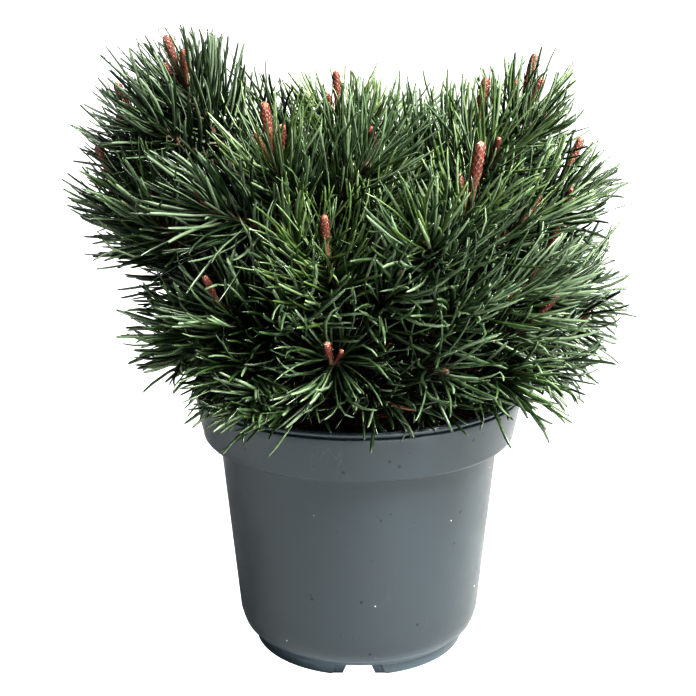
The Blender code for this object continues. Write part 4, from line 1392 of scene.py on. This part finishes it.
def fitted_needles(columns, rng):
    """Shortens the needles that would leave the crown's outline or the plant's box, and drops those that
    stand outside, or that would run into pot or soil."""
    feet, ways, bends, curls, flats, lengths, widths = columns
    slack = rng.normal(0.0, OUTLINE_SLACK, len(feet))
    slack += STRAY_REACH * rng.random(len(feet)) * (rng.random(len(feet)) < STRAY_SHARE)
    within = np.zeros(len(feet))
    for share in (0.5, 0.6, 0.7, 0.8, 0.9, 1.0):
        within[beyond_outline(tips_of(feet, ways, bends, lengths * share)) < slack] = share
    lengths = lengths * within
    reach = tips_of(feet, ways, bends, lengths) - feet
    low = np.array(cad_low) - BOX_ROOM
    high = np.array(cad_high) + BOX_ROOM
    room = np.where(reach > 0, high - feet, low - feet) / np.where(np.abs(reach) > 1e-9, reach, 1e-9)
    lengths = lengths * np.clip(room.min(axis=1), 0.3, 1.0)
    keep = lengths > NEEDLE_LENGTH * SHORTEST
    for share in (0.25, 0.5, 0.75, 1.0):
        spot = tips_of(feet, ways, bends * share, lengths * share)
        radius = np.hypot(spot[:, 0], spot[:, 1])
        above = spot[:, 2] > POT_HEIGHT + NEEDLE_ROOM
        outside = radius > RIM_RADIUS + BEAD_STANDS_OUT + NEEDLE_ROOM
        within = (radius < COLLAR_FOOT_RADIUS - WALL - NEEDLE_ROOM) & (spot[:, 2] > SOIL_TOP + NEEDLE_ROOM)
        keep &= above | outside | within
    return [column[keep] for column in (feet, ways, bends, curls, flats, lengths, widths)]


def sheath_shapes(feet, ways):
    """A short papery sheath at the foot of each pair."""
    side = unit(np.cross(ways, (0.31, 0.22, 0.93)))
    other = np.cross(ways, side)
    rings = []
    for share, girth in ((0.0, 1.15), (1.0, 0.8)):
        centre = feet + ways * SHEATH_LENGTH * share
        for angle in turns(4):
            rings.append(centre + swung(side, other, angle) * SHEATH_RADIUS * girth)
    points = np.stack(rings, axis=1)
    corners = lattice(2, 4)[None] + (np.arange(len(feet)) * 8)[:, None, None]
    return points.reshape(-1, 3), corners.reshape(-1, 3)


def tint_place(shoot, inner, rng):
    """A shoot's place in the row of greens: paler high up in front, partly for young shoots and partly as
    painted light; darker low down, at the sides, behind and inside, partly for old shoots and partly as
    painted shade. Then the highest place that it may reach."""
    tip = shoot[2]
    step, rise = (np.interp(tip.x, TINT_SIDES, ends) for ends in (TINT_STEPS, TINT_RISES))
    place = step + (tip.z - TINT_FOOT) / TINT_HEIGHT * rise + rng.normal(0.0, TINT_SPREAD)
    # Painted shade: darker greens behind and inside
    place -= np.interp(tip.y, BACK_PLACES, (0.0, BACK_PAINTED_SHADE))
    return place - (INSIDE_PAINTED_SHADE if inner else 0.0), np.interp(tip.z, CAP_HEIGHTS, CAPS)


def tint_at(place):
    """The green at this place in the row."""
    return list(GREENS)[int(min(max(place, 0.0), len(GREENS) - 1.0))]


# Buds


def add_bud(heap, foot, along, length, radius, rng):
    """A blunt bud on a slim foot: a core with overlapping scales in a spiral, each with a pale fringe."""
    along = np.array(along)
    side = unit(np.cross(along, (0.3, 0.5, 0.8)))
    other = np.cross(along, side)

    def girth(share):
        return radius * np.interp(share, BUD_STATIONS, BUD_GIRTHS)

    def place(share, turn, out):
        return np.array(foot) + along * length * share + swung(side, other, turn) * girth(share) * out

    shares = np.array(BUD_RINGS)
    line = np.array(foot) + along * (length * shares)[:, None]
    heap.add(*tube(line, girth(shares) * BUD_CORE_GIRTH, BUD_SIDES), CORE)
    points, marks = [], []
    for i in range(BUD_SCALES):
        share = (i + 0.5) / BUD_SCALES * SCALES_END
        turn = GOLDEN_ANGLE * i + rng.uniform(-0.12, 0.12)
        reach = SCALE_REACH * rng.uniform(0.85, 1.15)
        half = SCALE_HALF * rng.uniform(0.9, 1.1)
        tip = min(share + reach, 1.0)
        out = 1.12 + rng.uniform(0.0, 0.10)
        points += [
            place(share, turn - half, 0.96),
            place(share, turn + half, 0.96),
            place(share + reach * 0.5, turn - half * 0.75, 1.07),
            place(share + reach * 0.5, turn + half * 0.75, 1.07),
            place(tip, turn, out),
            place(share + reach * 0.55, turn - half * 0.8, 1.04),
            place(share + reach * 0.55, turn + half * 0.8, 1.04),
            place(min(tip + reach * 0.16, 1.01), turn, out - 0.03),
        ]
        zone = share + rng.normal(0.0, 0.05)
        colour = FOOT if zone < BUD_FOOT_END else (HEAD if zone < BUD_HEAD_END else TIP)
        marks += [colour] * 3 + [FRINGE if zone < BUD_HEAD_END else TIP]
    shape = np.array([(0, 1, 3), (0, 3, 2), (2, 3, 4), (5, 6, 7)])
    corners = shape[None] + (np.arange(BUD_SCALES) * 8)[:, None, None]
    heap.add(np.array(points), corners.reshape(-1, 3), np.array(marks))


def bud_axes(shoot, count, scale=1.0):
    """Foot, direction and size of each bud on a shoot's tip. The first is the largest, and all turn up."""
    end = (shoot[2] - shoot[1]).normalized()
    for i in range(count):
        around = Matrix.Rotation(GOLDEN_ANGLE * i, 3, end) @ end.orthogonal().normalized()
        lean = BUD_SPREAD if i else 0.0
        along = (end * math.cos(lean) + around * math.sin(lean)).lerp(UP, BUD_RISE).normalized()
        size = LESSER_BUDS[i] * scale
        aside = around * BUD_RADIUS * (0.9 if i else 0.0)
        yield shoot[2] - end * BUD_RADIUS * (0.8 + i * 1.1) * scale + aside, along, size


def add_buds(heap, axes, rng):
    for foot, along, size in axes:
        add_bud(heap, foot, along, BUD_LENGTH * size, BUD_RADIUS * (0.3 + 0.7 * size), rng)


# The whole plant


def dress_crown(shoots, fine, finishes):
    """Twigs, needles, sheaths and buds, each kind gathered and joined."""
    rng = np.random.default_rng(SEED)
    twigs, sheaths, buds = Heap(), Heap(), Heap()
    tints = {name: [] for name in GREENS}
    tints["straw"] = []
    for name, _, _, _, _, bud_count, _, _ in MASSES:
        for number, shoot in enumerate(shoots[name] + fine[name]):
            lead = number == 0
            side = 0 < number < len(shoots[name])
            foot_radius = LEAD_TWIG_RADIUS if lead else TWIG_RADIUS * (1.0 if side else FINE_TWIG)
            add_twig(twigs, shoot, foot_radius, TWIG_TIP_RADIUS * (1.0 if lead or side else FINE_TWIG_TIP))
            budded = lead and bud_count > 0
            pairs = PAIRS_ON_LEAD if lead else (PAIRS_ON_SIDE if side else PAIRS_ON_FINE)
            pairs = int(pairs * np.interp(shoot[2].x, THIN_SIDES, THIN_SHARES) * THIN_MASSES.get(name, 1.0))
            columns, sheath = grow_needles(rng, shoot, pairs, budded)
            sheaths.add(*sheath_shapes(*sheath))
            columns = fitted_needles(columns, rng)
            depth = np.linalg.norm(columns[0] - np.array(shoot[0]), axis=1) / SHOOT_LENGTH
            dry = rng.random(len(depth)) < STRAW_SHARE
            dry &= (depth < OLD_PART) & (columns[0][:, 2] < STRAW_HEIGHT)
            tints["straw"].append([column[dry] for column in columns])
            # Darker greens low down, at the sides, behind, inside and at a shoot's foot are painted shade
            place, cap = tint_place(shoot, not (lead or side), rng)
            for low, high, step in SPRAYS:
                part = ~dry & (depth >= low) & (depth < high)
                tints[tint_at(min(place + step, cap))].append([column[part] for column in columns])
            if budded:
                add_buds(buds, bud_axes(shoot, bud_count, BUD_SIZES.get(name, 1.0)), rng)
            elif side and rng.random() < SMALL_BUD_SHARE:
                add_buds(buds, bud_axes(shoot, 1, SMALL_BUD), rng)
    twigs.piece("twigs", [finishes["twig"]], "bark", MASS_NODES)
    sheaths.piece("needle_sheaths", [finishes["sheath"]], "bark", MASS_NODES)
    buds.piece("buds", [finishes[name] for name in BUD_FINISHES], "bark", MASS_NODES, smooth=False)
    for name, groups in tints.items():
        columns = [np.concatenate(column) for column in zip(*groups)]
        flat = finishes.get(name + "_flat", finishes[name])
        for start in range(0, len(columns[0]), NEEDLES_IN_PIECE):
            heap = Heap()
            heap.add(*needle_shapes(*(column[start:start + NEEDLES_IN_PIECE] for column in columns)))
            part = start // NEEDLES_IN_PIECE + 1
            heap.piece(f"needles_{name}_{part}", [finishes[name], flat], "needles", MASS_NODES)


def main():
    make_camera()
    make_lights()
    make_world()
    make_floor()
    finishes = make_finishes()
    make_pot(finishes)
    make_soil(finishes)
    limbs, leads = grow_limbs()
    make_limbs(limbs, finishes)
    shoots, boughs = grow_shoots(limbs, leads)
    fine = grow_finer(limbs, shoots, boughs)
    dress_crown(shoots, fine, finishes)


main()
